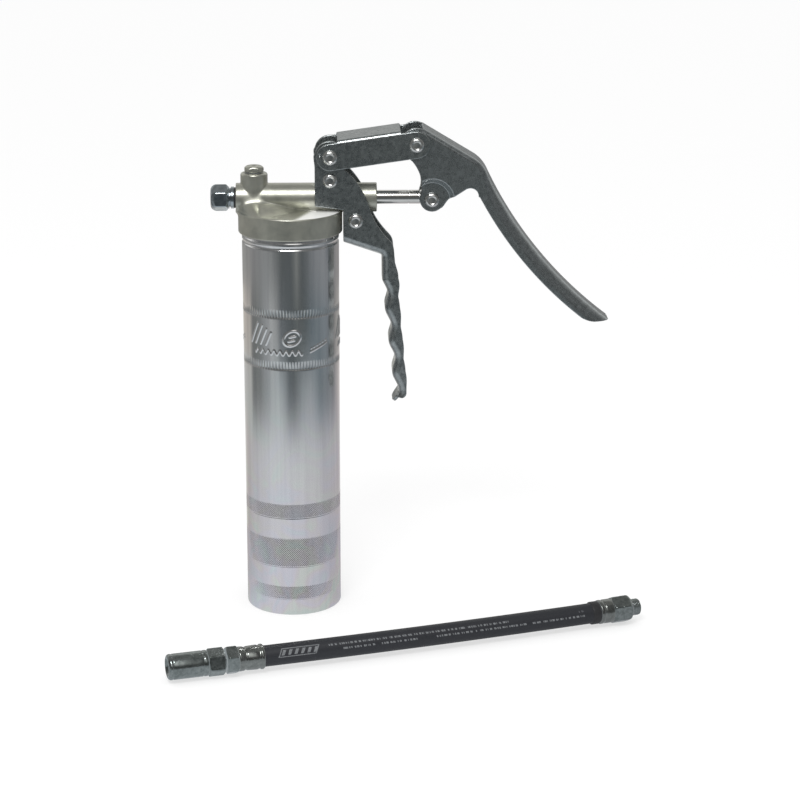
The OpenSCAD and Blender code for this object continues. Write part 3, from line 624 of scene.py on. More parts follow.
def capsule(u, v, cu, cv, long, lean, r):
    """Distance to a slanted stroke with round ends."""
    d = unit(lean)
    pu, pv = u - cu, v - cv
    t = np.clip(pu * d[0] + pv * d[1], -long / 2, long / 2)
    return np.hypot(pu - t * d[0], pv - t * d[1]) - r


def frieze(u, v):
    """Height of the pressed ornament: slanted strokes, a leaning ring, a ribbon and a row of studs."""
    repeat = 2 * math.pi * tube_r / 3
    u = np.mod(u, repeat)
    d = np.full(np.broadcast(u, v).shape, 9.0)
    for cu, long in ((5.5, 13), (8.8, 12), (12.1, 10), (15.4, 8)):
        d = np.minimum(d, capsule(u, v, cu, 165.5 + long / 2, long, 66, 0.45))
    lean_u = u - 0.25 * (v - 170)
    ring = np.abs(np.hypot((lean_u - 29.5) / 1.05, v - 170.3) - 4.4) - 0.5
    d = np.minimum(d, ring)
    for row in (168.9, 171.4):
        d = np.minimum(d, capsule(u, v, 29.5 + 0.25 * (row - 170), row, 3.0, 12, 0.45))
    ribbon = np.abs(v - (161.6 + 1.2 * np.sin(2 * math.pi * u / 3.6))) - 0.45
    d = np.minimum(d, np.maximum(ribbon, np.maximum(6 - u, u - 35.5)))
    rope = np.abs(v - (162.0 + 0.36 * (u - 41))) - 0.4
    d = np.minimum(d, np.maximum(rope, np.maximum(40.5 - u, u - 52)))
    studs = np.hypot(np.mod(u, 2.0) - 1.0, v - (163.8 + 0.36 * (u - 41))) - 0.4
    d = np.minimum(d, np.maximum(studs, np.maximum(41 - u, u - 52)))
    return 0.34 * smooth(0.5 - d / 0.8)


def build_tube():
    coarse, fine = 294, 588
    rows = []

    def plain(z, r, n=coarse):
        rows.append((np.full(n, float(z)), np.full(n, float(r))))

    for z, r in [(0, 22.0), (0, 24.5), (0, 26.6)] + [
        (1 - math.cos(math.radians(a)), tube_r - 1 + math.sin(math.radians(a))) for a in (15, 35, 55, 75, 90)
    ]:
        plain(z, r)

    def knurl(z0, z1, depth=0.13):
        count = int(round((z1 - z0) / 0.6))
        step = (z1 - z0) / count
        plain(z0 - 0.8, tube_r)
        plain(z0 - 0.35, tube_r)
        for k in range(count + 1):
            r = tube_r - depth * ((np.arange(coarse) + k) % 2)
            if k in (0, count):
                r = np.full(coarse, tube_r - depth * 0.6)
            rows.append((np.full(coarse, z0 + k * step), r))
        plain(z1 + 0.35, tube_r)
        plain(z1 + 0.8, tube_r)

    def flutes(z0, z1, depth=0.34):
        turn_of = np.arange(fine) % 6
        cut = np.array([0.0, 0.25, 0.9, 1.0, 0.9, 0.25])[turn_of]
        plain(z0 - 0.8, tube_r, fine)
        plain(z0 - 0.25, tube_r, fine)
        for z, share in ((z0, 0.4), (z0 + 0.35, 1), (z0 + 0.9, 1), (z1 - 2.2, 0.6), (z1 - 1.0, 0.3),
                         (z1, 0.06)):
            rows.append((np.full(fine, z), tube_r - depth * share * cut))
        plain(z1 + 0.25, tube_r, fine)
        plain(z1 + 0.8, tube_r, fine)

    knurl(9.8, 18.6)
    plain(24, tube_r)
    knurl(30.2, 48.3)
    plain(54, tube_r)
    knurl(60.6, 69.4)
    for z in (72, 90, 110, 130, 146):
        plain(z, tube_r)
    flutes(151.3, 156.0)
    u = np.arange(fine) * 2 * math.pi / fine * tube_r
    for z in np.arange(157.2, 180.81, 0.3):
        rows.append((np.full(fine, z), tube_r + frieze(u + 29.0, np.full(fine, z))))
    flutes(181.9, 186.6)
    for z in (190, 205, 216, 220.3):
        plain(z, tube_r)
    g = rim_z
    for z, r in (
        (g - 6.2, 0), (g - 5.9, 0.03), (g - 5.6, 0.16), (g - 5.3, 0.42), (g - 5.0, 0.52), (g - 4.6, 0.55),
        (g - 4.2, 0.52), (g - 3.9, 0.42), (g - 3.6, 0.16), (g - 3.3, 0.03), (g - 3.0, 0), (g - 2.2, 0),
        (g - 1.9, 0.05), (g - 1.5, 0.3), (g - 1.1, 0.45), (g - 0.4, 0.45), (g + 2, 0.45),
    ):
        plain(z, tube_r - r)
    top = roof_z - 1.5
    for z, r in ((top - 0.3, tube_r - 0.45), (top, tube_r - 0.7), (top, tube_r - 1.0), (top - 2, tube_r - 1.0),
                 (200, tube_r - 1.0), (100, tube_r - 1.0), (2, tube_r - 1.0), (1, tube_r - 1.6), (1, 22.2),
                 (0.8, 22.0), (0.2, 22.0)):
        plain(z, r)

    points, starts = [], []
    for z, r in rows:
        a = np.arange(len(z)) * 2 * math.pi / len(z) - math.pi / 2
        starts.append(sum(len(p) for p in points))
        points.append(np.stack([r * np.cos(a), r * np.sin(a), z], axis=1))
    faces, bumpy = [], []
    for k in range(len(rows)):
        m = (k + 1) % len(rows)
        (za, ra), (zb, rb) = rows[k], rows[m]
        p, q, np_, nq = starts[k], starts[m], len(za), len(zb)
        rough = np.ptp(ra) > 0.1 or np.ptp(rb) > 0.1
        for i in range(min(np_, nq)):
            j = (i + 1) % min(np_, nq)
            if np_ == nq:
                if rough and np_ == coarse:
                    quad = [p + i, p + j, q + j, q + i]
                    deep = [ra[i], ra[j], rb[j], rb[i]]
                    s = 0 if deep[0] + deep[2] <= deep[1] + deep[3] else 1
                    quad = quad[s:] + quad[:s]
                    faces += [(quad[0], quad[1], quad[2]), (quad[0], quad[2], quad[3])]
                    bumpy += [True, True]
                else:
                    faces.append((p + i, p + j, q + j, q + i))
                    bumpy.append(False)
            elif np_ < nq:
                faces.append((p + i, p + j, q + (2 * i + 2) % nq, q + 2 * i + 1, q + 2 * i))
                bumpy.append(False)
            else:
                faces.append((p + 2 * i, p + 2 * i + 1, p + (2 * i + 2) % np_, q + j, q + i))
                bumpy.append(False)
    obj = mesh_object("tube_shell", np.concatenate(points), faces, sharp=38)
    obj.data.polygons.foreach_set("use_smooth", ~np.array(bumpy))
    return obj


add(build_tube(), "gun", "bright_tube", "reservoir_tube")


# ---- Pump head casting ----

def head_field(x, y, z):
    rho = np.sqrt(x * x + y * y)
    s = np.sqrt(y * y + (z - axis_z) ** 2)
    cap = both(rho - cap_r, np.abs(z - (rim_z + cap_z) / 2) - (cap_z - rim_z) / 2, 0.9)
    barrel = both(s - barrel_r, np.maximum(barrel_left - x, x - barrel_right), 0.5)
    inner = 0.8 * barrel_r
    edge = np.maximum(np.sqrt(np.maximum((cap_r - 0.6) ** 2 - x * x, 0)), inner + 1.5)
    q = np.clip((np.abs(y) - inner) / (edge - inner), 0, 1)
    left = 1 - smooth((x + 18.0) / 6.5)
    along = x + 0.38 * (np.abs(y) - 8)
    rise = 6.4 * (1 - q) ** (1.25 - 0.5 * left) * (1 - smooth((along + 16.0) / 26.0))
    scoop = 0.9 * np.exp(-((along + 5) / 8.0) ** 2) * np.sin(np.pi * q)
    top = cap_z + rise - scoop * np.clip(rise, 0, 1) - 0.3 * smooth((along - 8.0) / 3.0)
    flank = both((z - top) * 0.8, rho - (cap_r - 0.5), 0.7)
    flank = both(flank, barrel_left + 0.3 - x, 0.6)
    flank = np.maximum(flank, cap_z - 3 - z)
    body = either(either(cap, flank, 0.5), barrel, 0.5 + 2.5 * left)
    boss_rho = np.sqrt((x - boss_x) ** 2 + y * y)
    boss = both(boss_rho - 7.8, np.maximum(z - boss_top_z, axis_z - z), 1.3)
    body = either(body, boss, 0.7)
    spot = both(boss_rho - 5.7, boss_top_z - 0.25 - z, 0.1)
    body = less(body, spot, 0.15)
    ux, uz = x - upper_rivet[0], z - upper_rivet[1]
    lug = both(both(np.abs(ux) - 5.7, np.maximum(uz - 4.2, axis_z - z), 2.0), np.abs(y) - barrel_r, 0.4)
    body = either(body, lug, 1.5)
    lx, lz = x - lower_rivet[0], z - lower_rivet[1]
    lug = both(both(np.abs(lx) - 5.0, np.maximum(-4.4 - lz, z - axis_z), 2.0), np.abs(y) - barrel_r, 0.4)
    body = either(body, lug, 1.5)
    body = less(body, both(rho - tube_r - 0.05, z - roof_z, 0.4), 0.5)

    def bore(x0, x1, r):
        return np.maximum(s - r, np.maximum(x0 - x, x - x1))

    for x0, x1, r in ((-20, 15, 4.05), (12, 60, 6.0), (-24, -19, 1.6), (-28, -23.5, 3.2), (-40, -27.5, 5.0)):
        body = less(body, bore(x0, x1, r), 0.25)
    body = less(body, np.maximum(boss_rho - 3.2, axis_z + 6 - z), 0.3)
    inlet = np.maximum(np.sqrt((x + 3) ** 2 + y * y) - 3.5, np.maximum(z - axis_z, roof_z - 2 - z))
    body = less(body, inlet, 0.3)
    for p in (upper_rivet, lower_rivet):
        body = less(body, reach(x, z, p) - SNUG, 0.2)
    return body


carve_node("head_casting", head_field, 0.55, "gun", "cast_metal", "pump_head")


# ---- Hexagons, threads and the outlet ----

def hexagon(u, v, across, r):
    c, s = math.cos(math.pi / 3), math.sin(math.pi / 3)
    d = both(np.abs(u) - across / 2, np.abs(u * c + v * s) - across / 2, r)
    return both(d, np.abs(u * c - v * s) - across / 2, r)


def thread(along, u, v, r, pitch=1.0, depth=0.55, left=0.0):
    """Distance to an endless screw surface whose crests lie at radius r."""
    phase = np.mod(along / pitch - np.arctan2(v, u) / (2 * math.pi) + left, 1.0)
    flank = np.abs(2 * phase - 1)
    return (np.sqrt(u * u + v * v) - r + depth * np.clip(flank * 1.25 - 0.12, 0, 1)) * 0.62


def cone(rho, along, r, x, out, slope=0.5):
    """Outside of a chamfer that starts at radius r on the end face at x; out is +1 or -1."""
    n = math.hypot(1, slope)
    return ((rho - r) * slope + out * (along - x)) / n


def slab(x, x0, x1):
    return np.maximum(x0 - x, x - x1)


def outlet_field(x, y, z):
    w = z - axis_z
    rho = np.sqrt(y * y + w * w)
    nut = both(hexagon(y, w, 13.8, 0.5), slab(x, -45.8, -35.4), 0.4)
    nut = both(nut, cone(rho, x, 5.3, -45.8, -1, 0.85), 1.2)
    nut = both(nut, cone(rho, x, 6.4, -35.4, 1, 0.7), 0.5)
    neck = both(rho - 6.3, slab(x, -36.4, -32.0), 0.35)
    neck = less(neck, both(np.abs(x + 34.4) - 0.5, 5.5 - rho, 0.2), 0.2)
    screw = np.maximum(thread(x, y, w, 4.96), slab(x, -33.0, -27.6))
    body = either(np.minimum(nut, screw), neck, 0.2)
    hole = both(thread(x, y, w, 5.0, left=0.5), slab(x, -60, -36.8), 0.1)
    body = less(body, np.minimum(hole, cone(rho, x, 5.4, -45.8, 1, 1.0)), 0.1)
    body = less(body, np.maximum(rho - 1.6, slab(x, -38, -30)), 0.1)
    return less(body, np.maximum(rho - 3.2, slab(x, -33, -20)), 0.1)


carve_node("outlet_nut", outlet_field, 0.28, "gun", "blue_zinc", "outlet_connector")


def plug_field(x, y, z):
    u, v = x - boss_x, y
    rho = np.sqrt(u * u + v * v)
    low_z, top_z = boss_top_z + 0.7, boss_top_z + 4.1
    nut = both(hexagon(v, u, 10.0, 0.35), slab(z, low_z, top_z), 0.25)
    nut = both(nut, cone(rho, z, 4.1, top_z, 1, 0.75), 0.5)
    nut = both(nut, cone(rho, z, 5.0, low_z, -1, 0.5), 0.3)
    nut = less(nut, np.sqrt(u * u + v * v + (z - top_z - 2.2) ** 2) - 3.0, 0.3)
    shank = np.maximum(thread(z, u, v, 3.15, 0.8, 0.4), slab(z, axis_z + 7, low_z + 0.5))
    return np.minimum(nut, shank)


carve_node("vent_cap", plug_field, 0.24, "gun", "cast_metal", "vent_plug")


# ---- Folded sheet: bracket, link and lever ----

def folded(walls, web, r):
    """A sheet channel: inside of both walls and of the web line, with an outer bend of radius r."""
    outer = both(walls, -web, r)
    return np.maximum(outer, -(outer + sheet))


wave_pitch = 19.4
plate_foot = np.array([30.5, axis_z - 24.8])
toe_c = np.array([50.7, axis_z - 33.8])
lip_c = np.array([59.35, axis_z - 114.3])
FOOT_SLOPE, LIP_HEADING = 19.0, -126.0


def wave_x(x_mid, lean, amp, z, shift=0.0):
    along = z - (axis_z - 74.4)
    return x_mid - lean * along + amp * np.cos(2 * math.pi * (along - shift) / wave_pitch)


def finger_side():
    """The web's outer line, from the start of the lip up to the foot and on past it."""
    z = np.linspace(lip_c[1], axis_z - 47.5, 160)
    waves = list(np.stack([wave_x(56.75, 0.11, 1.3, z), z], axis=1))
    return (
        arc(lip_c, 3, LIP_HEADING + 90, 0, 12) + waves + arc(toe_c, 2, 0, 90 - FOOT_SLOPE, 12)
        + [plate_foot, plate_foot + 60 * unit(180 - FOOT_SLOPE)]
    )


def palm_side():
    """Free edges of the side plates, from the pivot lobe down to the grip's end."""
    z = np.linspace(axis_z - 36, axis_z - 111.8, 160)
    heel = 0.8 * np.exp(-((z - (axis_z - 50.2)) / 5.5) ** 2)
    edge = list(np.stack([wave_x(63.85, 0.0886, 0.4, z, 7.6) + heel, z], axis=1))
    top = arc(pivot_a + [-22.3, -42.75], 46.6, 52, 12.5, 20)
    top += [np.array([49.4, axis_z - 13.9]), np.array([53.6, axis_z - 19.8])]
    return soften(top + arc([51.2, axis_z - 29.5], 8.3, 40, 5, 10) + edge, 2.5, 3) + arc(
        [63.9, axis_z - 115.1], 3.1, 0, -90, 12)


def bracket_shape():
    low, high = np.array([8.0, 118.0]), np.array([76.0, 286.0])
    line = finger_side()
    web = Outline([line[0] + 60 * unit(LIP_HEADING)] + line + [(-60, 260), (-60, 60)], low, high)
    lip_z = lip_c[1] - 1.0
    side = Outline(
        [(14.2, axis_z - 3.3), (14.2, pivot_a[1]), pivot_a] + palm_side()
        + [(61.7, axis_z - 117.8), (61.7, lip_z), (54.0, lip_z), (45.0, axis_z - 40), (45.0, axis_z - 38),
           (30.5, axis_z - 32), (30.5, axis_z - 5.4)], low, high)
    first, way, inward = line[0], unit(LIP_HEADING), unit(LIP_HEADING + 90)

    def field(x, y, z):
        flat = side(x, z)
        flat = either(flat, reach(x, z, pivot_a) - 8.7, 2.5)
        shell = folded(np.abs(y) - bracket_y, web(x, z), 4.4)
        body = both(shell, flat, 0.42)
        along = (x - first[0]) * way[0] + (z - first[1]) * way[1]
        deep = (x - first[0]) * inward[0] + (z - first[1]) * inward[1]
        plan = both(np.abs(y) - 7.4, np.maximum(along - 5.4, -1.5 - along), 3.9)
        lip = both(plan, np.abs(deep - sheet / 2) - sheet / 2, 0.45)
        body = either(body, lip, 1.4)
        for p, r in ((pivot_a, 3.02), (upper_rivet, SNUG), (lower_rivet, SNUG)):
            body = less(body, reach(x, z, p) - r, 0.15)
        return body

    return field


carve_node("bracket_grip", bracket_shape(), 0.46, "gun", "zinc_sheet", "handle_bracket")


LINK_WEB = (5.2, 41.9, 9.2)  # start and end along the link, and height above its pins


def link_field(x, y, z):
    c, s = math.cos(math.radians(tilt)), math.sin(math.radians(tilt))
    u = (x - pivot_a[0]) * c + (z - pivot_a[1]) * s
    v = -(x - pivot_a[0]) * s + (z - pivot_a[1]) * c
    stadium = np.sqrt((u - np.clip(u, 0, link_len)) ** 2 + v * v) - 7.7
    start_u, stop_u, web_v = LINK_WEB
    beyond = slab(u, start_u, stop_u)
    flat = either(stadium, np.maximum(beyond, np.maximum(-v, v - 14)), 0.8)
    w = web_v - v + 3.0 * np.maximum(beyond, 0)
    walls = np.abs(y) - link_y
    shell = folded(walls, w, 2.6)
    shell = np.maximum(shell, -np.maximum(walls + sheet, -beyond))
    body = both(shell, flat, 0.42)
    mark = np.sqrt((u + 5.6) ** 2 + (v - 2.2) ** 2 + (y + link_y + 0.45) ** 2) - 0.95
    body = less(body, mark, 0.2)
    body = less(body, np.sqrt(u * u + v * v) - 3.05, 0.15)
    return less(body, np.sqrt((u - link_len) ** 2 + v * v) - SNUG, 0.15)


carve_node("link_bar", link_field, 0.45, "link", "zinc_sheet", "link_channel")


grip_c = np.array([329.6, axis_z + 119.6])
GRIP_R, GRIP_A, GRIP_B = 240.0, 205.8, 233.2
back_corner = np.array([110.8, axis_z + 20.8])


def lever_back(d):
    bend = GRIP_A + 90 - 360 + 31
    run_in = 20.8 * math.tan(math.radians(-bend / 2))
    tangent = back_corner - run_in * unit(-31)
    c = tangent - 20.8 * unit(59)
    return [tangent - 34.2 * unit(-31) - d * unit(59)] + arc(c, 20.8 - d, 59, 59 + bend, 16)


def lever_shape():
    low, high = np.array([58.0, 160.0]), np.array([196.0, 296.0])

    def depth(a):
        return 10.5 - 2.6 * ((a - GRIP_A) / (GRIP_B - GRIP_A)) ** 2

    end = GRIP_B + 4
    web = Outline(
        [lever_back(0)[0] + 40 * unit(92)] + lever_back(0) + arc(grip_c, GRIP_R, GRIP_A, end, 60)
        + [grip_c + (GRIP_R + 60) * unit(end), (100, 120), (20, 200), (20, 330)], low, high)
    edge = [grip_c + (GRIP_R + depth(a)) * unit(a) for a in np.linspace(end, 208, 60)]
    side = Outline(
        lever_back(-5) + arc(grip_c, GRIP_R - 5, GRIP_A, end, 60) + edge
        + arc([103, axis_z + 2.4], 4.8, -5, 118, 24)
        + [pivot_c + [9.5, 0.2], pivot_c + 7.0 * unit(-35), tuple(pivot_c)]
        + arc([51.4, axis_z + 7.4], 24, -17, 43, 30) + [tuple(pivot_b), lever_back(0)[0]], low, high)
    first = lever_back(0)[0]
    heading = unit(-31)
    tip_z = (grip_c + GRIP_R * unit(GRIP_B))[1] + 0.5

    def field(x, y, z):
        flat = side(x, z)
        rb, rc = reach(x, z, pivot_b), reach(x, z, pivot_c)
        flat = either(either(flat, rb - 9.26, 1.2), rc - 7.0, 2.0)
        gx, gz = x - grip_c[0], z - grip_c[1]
        a = np.mod(np.degrees(np.arctan2(gz, gx)), 360)
        on_grip = smooth((a - GRIP_A + 3.0) / 7.0)
        r = 2.8 + 4.6 * on_grip
        past = (a - GRIP_B) * math.radians(1) * GRIP_R
        past = np.where((a > 200) & (a < 250), past, -50)
        step = smooth((rc - 9.8) / 3.4)
        half = lobe_y + (lever_y - lobe_y) * step
        steep = (lever_y - lobe_y) * 1.5 / 3.4 * np.clip(1 - np.abs((rc - 11.5) / 1.7) ** 2, 0, 1)
        walls = (np.abs(y) - half) / np.sqrt(1 + steep * steep)
        shell = folded(walls, -web(x, z), r)
        ahead = (x - first[0]) * heading[0] + (z - first[1]) * heading[1]
        shell = np.maximum(shell, -np.maximum(walls + sheet, ahead))
        end_cut = np.maximum(tip_z - z, past)
        body = both(shell, both(flat, np.where(a > 225, end_cut, -50.0), 3.0), 0.42)
        body = less(body, rb - 4.4, 0.15)
        return less(body, rc - 3.05, 0.15)

    return field


carve_node("lever_grip", lever_shape(), 0.5, "lever", "zinc_lever_painted_lighter", "squeeze_lever")


# ---- Rivets ----

def rivet(name, p, face, shank):
    """A shank with two formed heads: a rounded ring about a shallow dished middle."""
    crown = [(0.86, 0), (0.9, 1.7), (1.1, 2.2), (1.42, 2.55), (1.5, 2.8), (1.38, 3.15), (1.1, 3.6), (0.72, 4.0),
             (0.3, 4.28), (0.0, 4.34)]
    right = [(face + h, r) for h, r in soften(crown, 0.4, 4)] + [(face, shank)]
    left = [(-s, r) for s, r in reversed(right)]
    return lathe(name, right + left, axis="y", at=(p[0], 0, p[1]), segments=64, sharp=50, closed=False)


add(rivet("rivet_link", pivot_a, link_y + 0.1, 2.98), "gun", "rivet_metal", "link_rivet")
add(rivet("rivet_link_lever", pivot_b, link_y, 2.48), "link", "rivet_metal", "link_lever_rivet")
add(rivet("rivet_plunger", pivot_c, lobe_y + 0.1, 2.98), "plunger", "rivet_metal", "lever_rivet")
pair = [rivet(name, p, bracket_y, 2.48) for name, p in (("r1", upper_rivet), ("r2", lower_rivet))]
add(joined("rivets_bracket", pair), "gun", "rivet_metal", "bracket_rivets")


# ---- Plunger ----

def rod_field(x, y, z):
    s = np.sqrt(y * y + (z - axis_z) ** 2)
    rod = both(s - rod_r, slab(x, 2.0, pivot_c[0]), 0.7)
    neck = np.maximum(np.abs(x - 68.0) - 0.35, 3.8 - s)
    eye_r = np.sqrt((x - pivot_c[0]) ** 2 + (z - pivot_c[1]) ** 2)
    eye = both(eye_r - 6.3, np.abs(y) - 6.7, 0.5)
    return less(either(less(rod, neck, 0.15), eye, 1.6), eye_r - 3.02, 0.25)


carve_node("plunger", rod_field, 0.36, "plunger", "polished_rod", "plunger_rod")


# ---- Springs ----

def spring(name, cad_node, shape, axis="x", steps=40):
    """A coil between its CAD node's ends."""
    low, high = box(cad_node)
    i, mean_r, wire_r, turns = "xyz".index(axis), *shape
    at = np.array([0, 0, axis_z if axis == "x" else 0.0])
    obj = coil(name, mean_r, wire_r, low[i], high[i], turns, axis, at, steps=steps)
    add(obj, "gun", "spring_steel", cad_node)
    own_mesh(obj)


spring("spring_return", "return_spring", (5.0, 0.45, 7))
spring("spring_check", "check_spring", (1.9, 0.3, 3), steps=28)
spring("spring_follower", "follower_spring", (18.0, 1.1, 11), "z", 60)


# ---- Follower ----

KNOB = [(0, 0), (0, 8.6), (0.25, 9.2), (0.25, 10.2), (0.9, 11), (2.3, 11), (3.0, 10.4), (3.2, 8.0), (3.5, 6.2),
        (4.6, 5.0), (11, 5.0), (11, 3.02), (3.98, 3.02), (3.98, 0)]
add(lathe("pull_knob", soften(KNOB, 0.35, 4), axis="z", closed=False), "follower", "inner_steel", "rod_knob")


# ---- Hose ----

def on_hose(s):
    c = hose_mid + hose_bend_r * np.array([-math.sin(math.radians(hose_heading)),
                                           math.cos(math.radians(hose_heading))])
    a = hose_heading + math.degrees(s / hose_bend_r)
    return (
        (c[0] + hose_bend_r * math.sin(math.radians(a)), c[1] - hose_bend_r * math.cos(math.radians(a)), hose_z), a)


def build_hose():
    rings, sides = 90, 72
    stations = np.linspace(-half_len - 13, half_len + 9, rings)
    profile = [(4.75, 0.0), (5.6, 0.0), (6.0, 0.4)]
    points, faces, uvs = [], [], []
    ring_list = [(stations[0] + d, r) for r, d in profile]
    ring_list += [(s, hose_r) for s in stations[1:-1]]
    ring_list += [(stations[-1] - 0.4, 6.0), (stations[-1], 5.6), (stations[-1], 4.75)]
    for s, r in ring_list:
        (ox, oy, oz), a = on_hose(s)
        side = np.array([-math.sin(math.radians(a)), math.cos(math.radians(a)), 0])
        for k in range(sides):
            t = 2 * math.pi * k / sides
            points.append(
                np.array([ox, oy, oz]) - side * r * math.cos(t) + np.array([0, 0, r * math.sin(t)]))
            uvs.append((s, t))
    n = len(ring_list)
    for i in range(n):
        m = (i + 1) % n
        for k in range(sides):
            j = (k + 1) % sides
            faces.append((i * sides + k, i * sides + j, m * sides + j, m * sides + k))
    points = np.array(points)
    f = faces[(n // 2) * sides]
    normal = np.cross(points[f[1]] - points[f[0]], points[f[2]] - points[f[1]])
    out = points[f[0]] - np.array(on_hose(ring_list[n // 2][0])[0])
    if normal @ out < 0:
        faces = [tuple(reversed(f)) for f in faces]
    obj = mesh_object("hose_rubber", points, faces, sharp=50)
    layer = obj.data.uv_layers.new(name="along")
    turn_mid = math.radians(33)
    values = []
    for poly in obj.data.polygons:
        angles = [uvs[v][1] for v in poly.vertices]
        for v in poly.vertices:
            s, t = uvs[v]
            if max(angles) - min(angles) > math.pi and t < math.pi:
                t += 2 * math.pi
            values += [s, (t - turn_mid + (0 if t < math.pi * 1.5 else -2 * math.pi)) * hose_r]
    layer.data.foreach_set("uv", values)
    return obj


add(build_hose(), "hose", "black_rubber", "hose_cover", material=HOSE_RUBBER)
LEFT, RIGHT = on_hose(-half_len), on_hose(half_len)
collar = [(-3.0, 6.02), (-3.0, 6.3), (-2.5, 6.7), (1.5, 6.7), (2.0, 6.3), (2.0, 6.02)]
add(lathe("rubber_collar", soften(collar, 0.3, 4), RIGHT), "hose", "black_rubber", "hose_collar")


shell_left = [(0, 6.15), (0, 6.75), (-0.5, 7.15), (-1.7, 7.15), (-2.2, 6.72), (-3.0, 6.6), (-3.6, 6.95),
              (-5.0, 6.98), (-9.6, 6.80), (-10.2, 6.45), (-11.0, 6.45), (-11.6, 6.85), (-14.1, 7.0), (-14.58, 6.6),
              (-14.58, 3.6), (-13.6, 3.6), (-13.6, 6.15)]
shell_right = [(2.4, 6.15), (2.4, 6.9), (2.8, 7.05), (4.2, 7.05), (4.6, 6.7), (5.3, 6.7), (5.7, 7.05), (9.9, 7.05),
               (10.48, 6.9), (10.48, 3.6), (9.6, 3.6), (9.6, 6.15)]
pair = [lathe("c1", soften(shell_left, 0.5, 5), LEFT), lathe("c2", soften(shell_right, 0.5, 5), RIGHT)]
add(joined("crimp_shells", pair), "hose", "crimp_steel", "hose_ferrules")


def barb(rho, x, x0, x1, out):
    """Ribbed stem inside the hose."""
    ribs = 2.54 - 0.28 * np.mod(out * x / 1.6, 1.0)
    return np.maximum(rho - ribs, slab(x, x0, x1)) * 0.9


def gun_end_field(x, y, z):
    rho = np.sqrt(y * y + z * z)
    nut = both(hexagon(y, z, 14.5, 0.4), slab(x, 10.5, 23.5), 0.3)
    nut = both(nut, cone(rho, x, 7.05, 10.5, -1, 0.62), 0.7)
    nut = both(nut, cone(rho, x, 5.4, 23.5, 1, 0.9), 0.9)
    collar = both(rho - 7.1, slab(x, 10.5, 14.5), 0.3)
    body = either(np.where(x < 16, both(rho - 8.2, nut, 0.3), nut), collar, 0.6)
    screw = np.maximum(thread(x, y, z, 4.9), slab(x, 23.0, 28.6))
    screw = both(screw, cone(rho, x, 4.2, 28.6, 1, 1.0), 0.15)
    body = either(body, screw, 0.25)
    body = np.minimum(body, barb(rho, x, -8.0, 10.6, -1))
    return less(body, rho - 1.4, 0.25)


def add_fitting(name, field, x0, x1, r, step, place, cad_node):
    """Carves a fitting about local X, from x0 to x1 and out to r, at one end of the hose."""
    add(carve(name, field, (x0, -r, -r), (x1, r, r), step, place), "hose", "hose_zinc", cad_node)


add_fitting("hose_thread_end", gun_end_field, -8, 28.6, 8.5, 0.3, RIGHT, "gun_end_fitting")


def coupler_end_field(x, y, z):
    rho = np.sqrt(y * y + z * z)
    nut = both(hexagon(y, z, 14.5, 0.4), slab(x, -21.5, -14.6), 0.3)
    nut = both(nut, cone(rho, x, 6.9, -21.5, -1, 0.6), 0.5)
    nut = both(nut, cone(rho, x, 6.9, -14.6, 1, 0.6), 0.5)
    screw = np.maximum(thread(x, y, z, 4.4), slab(x, -27.0, -21.0))
    body = either(nut, screw, 0.25)
    body = np.minimum(body, barb(rho, x, -14.7, 8.0, 1))
    return less(body, rho - 1.4, 0.25)


add_fitting("hose_coupler_end", coupler_end_field, -27, 8, 8.5, 0.3, LEFT, "coupler_end_fitting")


def adaptor_field(x, y, z):
    rho = np.sqrt(y * y + z * z)
    c, s = math.cos(math.radians(14)), math.sin(math.radians(14))
    nut = both(hexagon(y * c - z * s, y * s + z * c, 14.0, 0.4), slab(x, -32.0, -22.3), 0.3)
    nut = both(nut, cone(rho, x, 6.7, -32.0, -1, 0.5), 0.4)
    nut = both(nut, cone(rho, x, 6.6, -22.3, 1, 0.5), 0.4)
    nose = both(rho - 5.3, slab(x, -36.0, -31.5), 0.4)
    body = either(nut, nose, 0.3)
    body = less(body, np.maximum(thread(x, y, z, 4.46, left=0.5), slab(x, -27.2, 0)), 0.15)
    return less(body, rho - 1.4, 0.25)


add_fitting("coupler_nut", adaptor_field, -36, -22.3, 8.3, 0.28, LEFT, "coupler_adaptor")
MOUTH = -54.7
SLEEVE = [(0, 5.3), (0, 5.9), (0.35, 6.7), (1.3, 7.3), (2.3, 7.3), (2.6, 7.12), (3.0, 7.12), (3.3, 7.3), (19.6, 7.3),
          (19.9, 7.1), (20.4, 7.1), (20.7, 7.3), (22.3, 7.3), (22.7, 6.9), (22.7, 5.36), (3, 5.36), (3, 4.05),
          (1.3, 4.05)]
sleeve = [(MOUTH + x, r) for x, r in SLEEVE]
add(lathe("coupler_body", soften(sleeve, 0.35, 4), LEFT, segments=128), "hose", "hose_zinc", "coupler_sleeve")
jaw_spring = coil("spring_coupler", 3.6, 0.45, MOUTH + 11.75, MOUTH + 18.6, 3, "x", (0, 0, 0), LEFT, steps=32)
add(jaw_spring, "hose", "spring_steel", "coupler_spring")


# ---- Small parts that keep their CAD shape ----

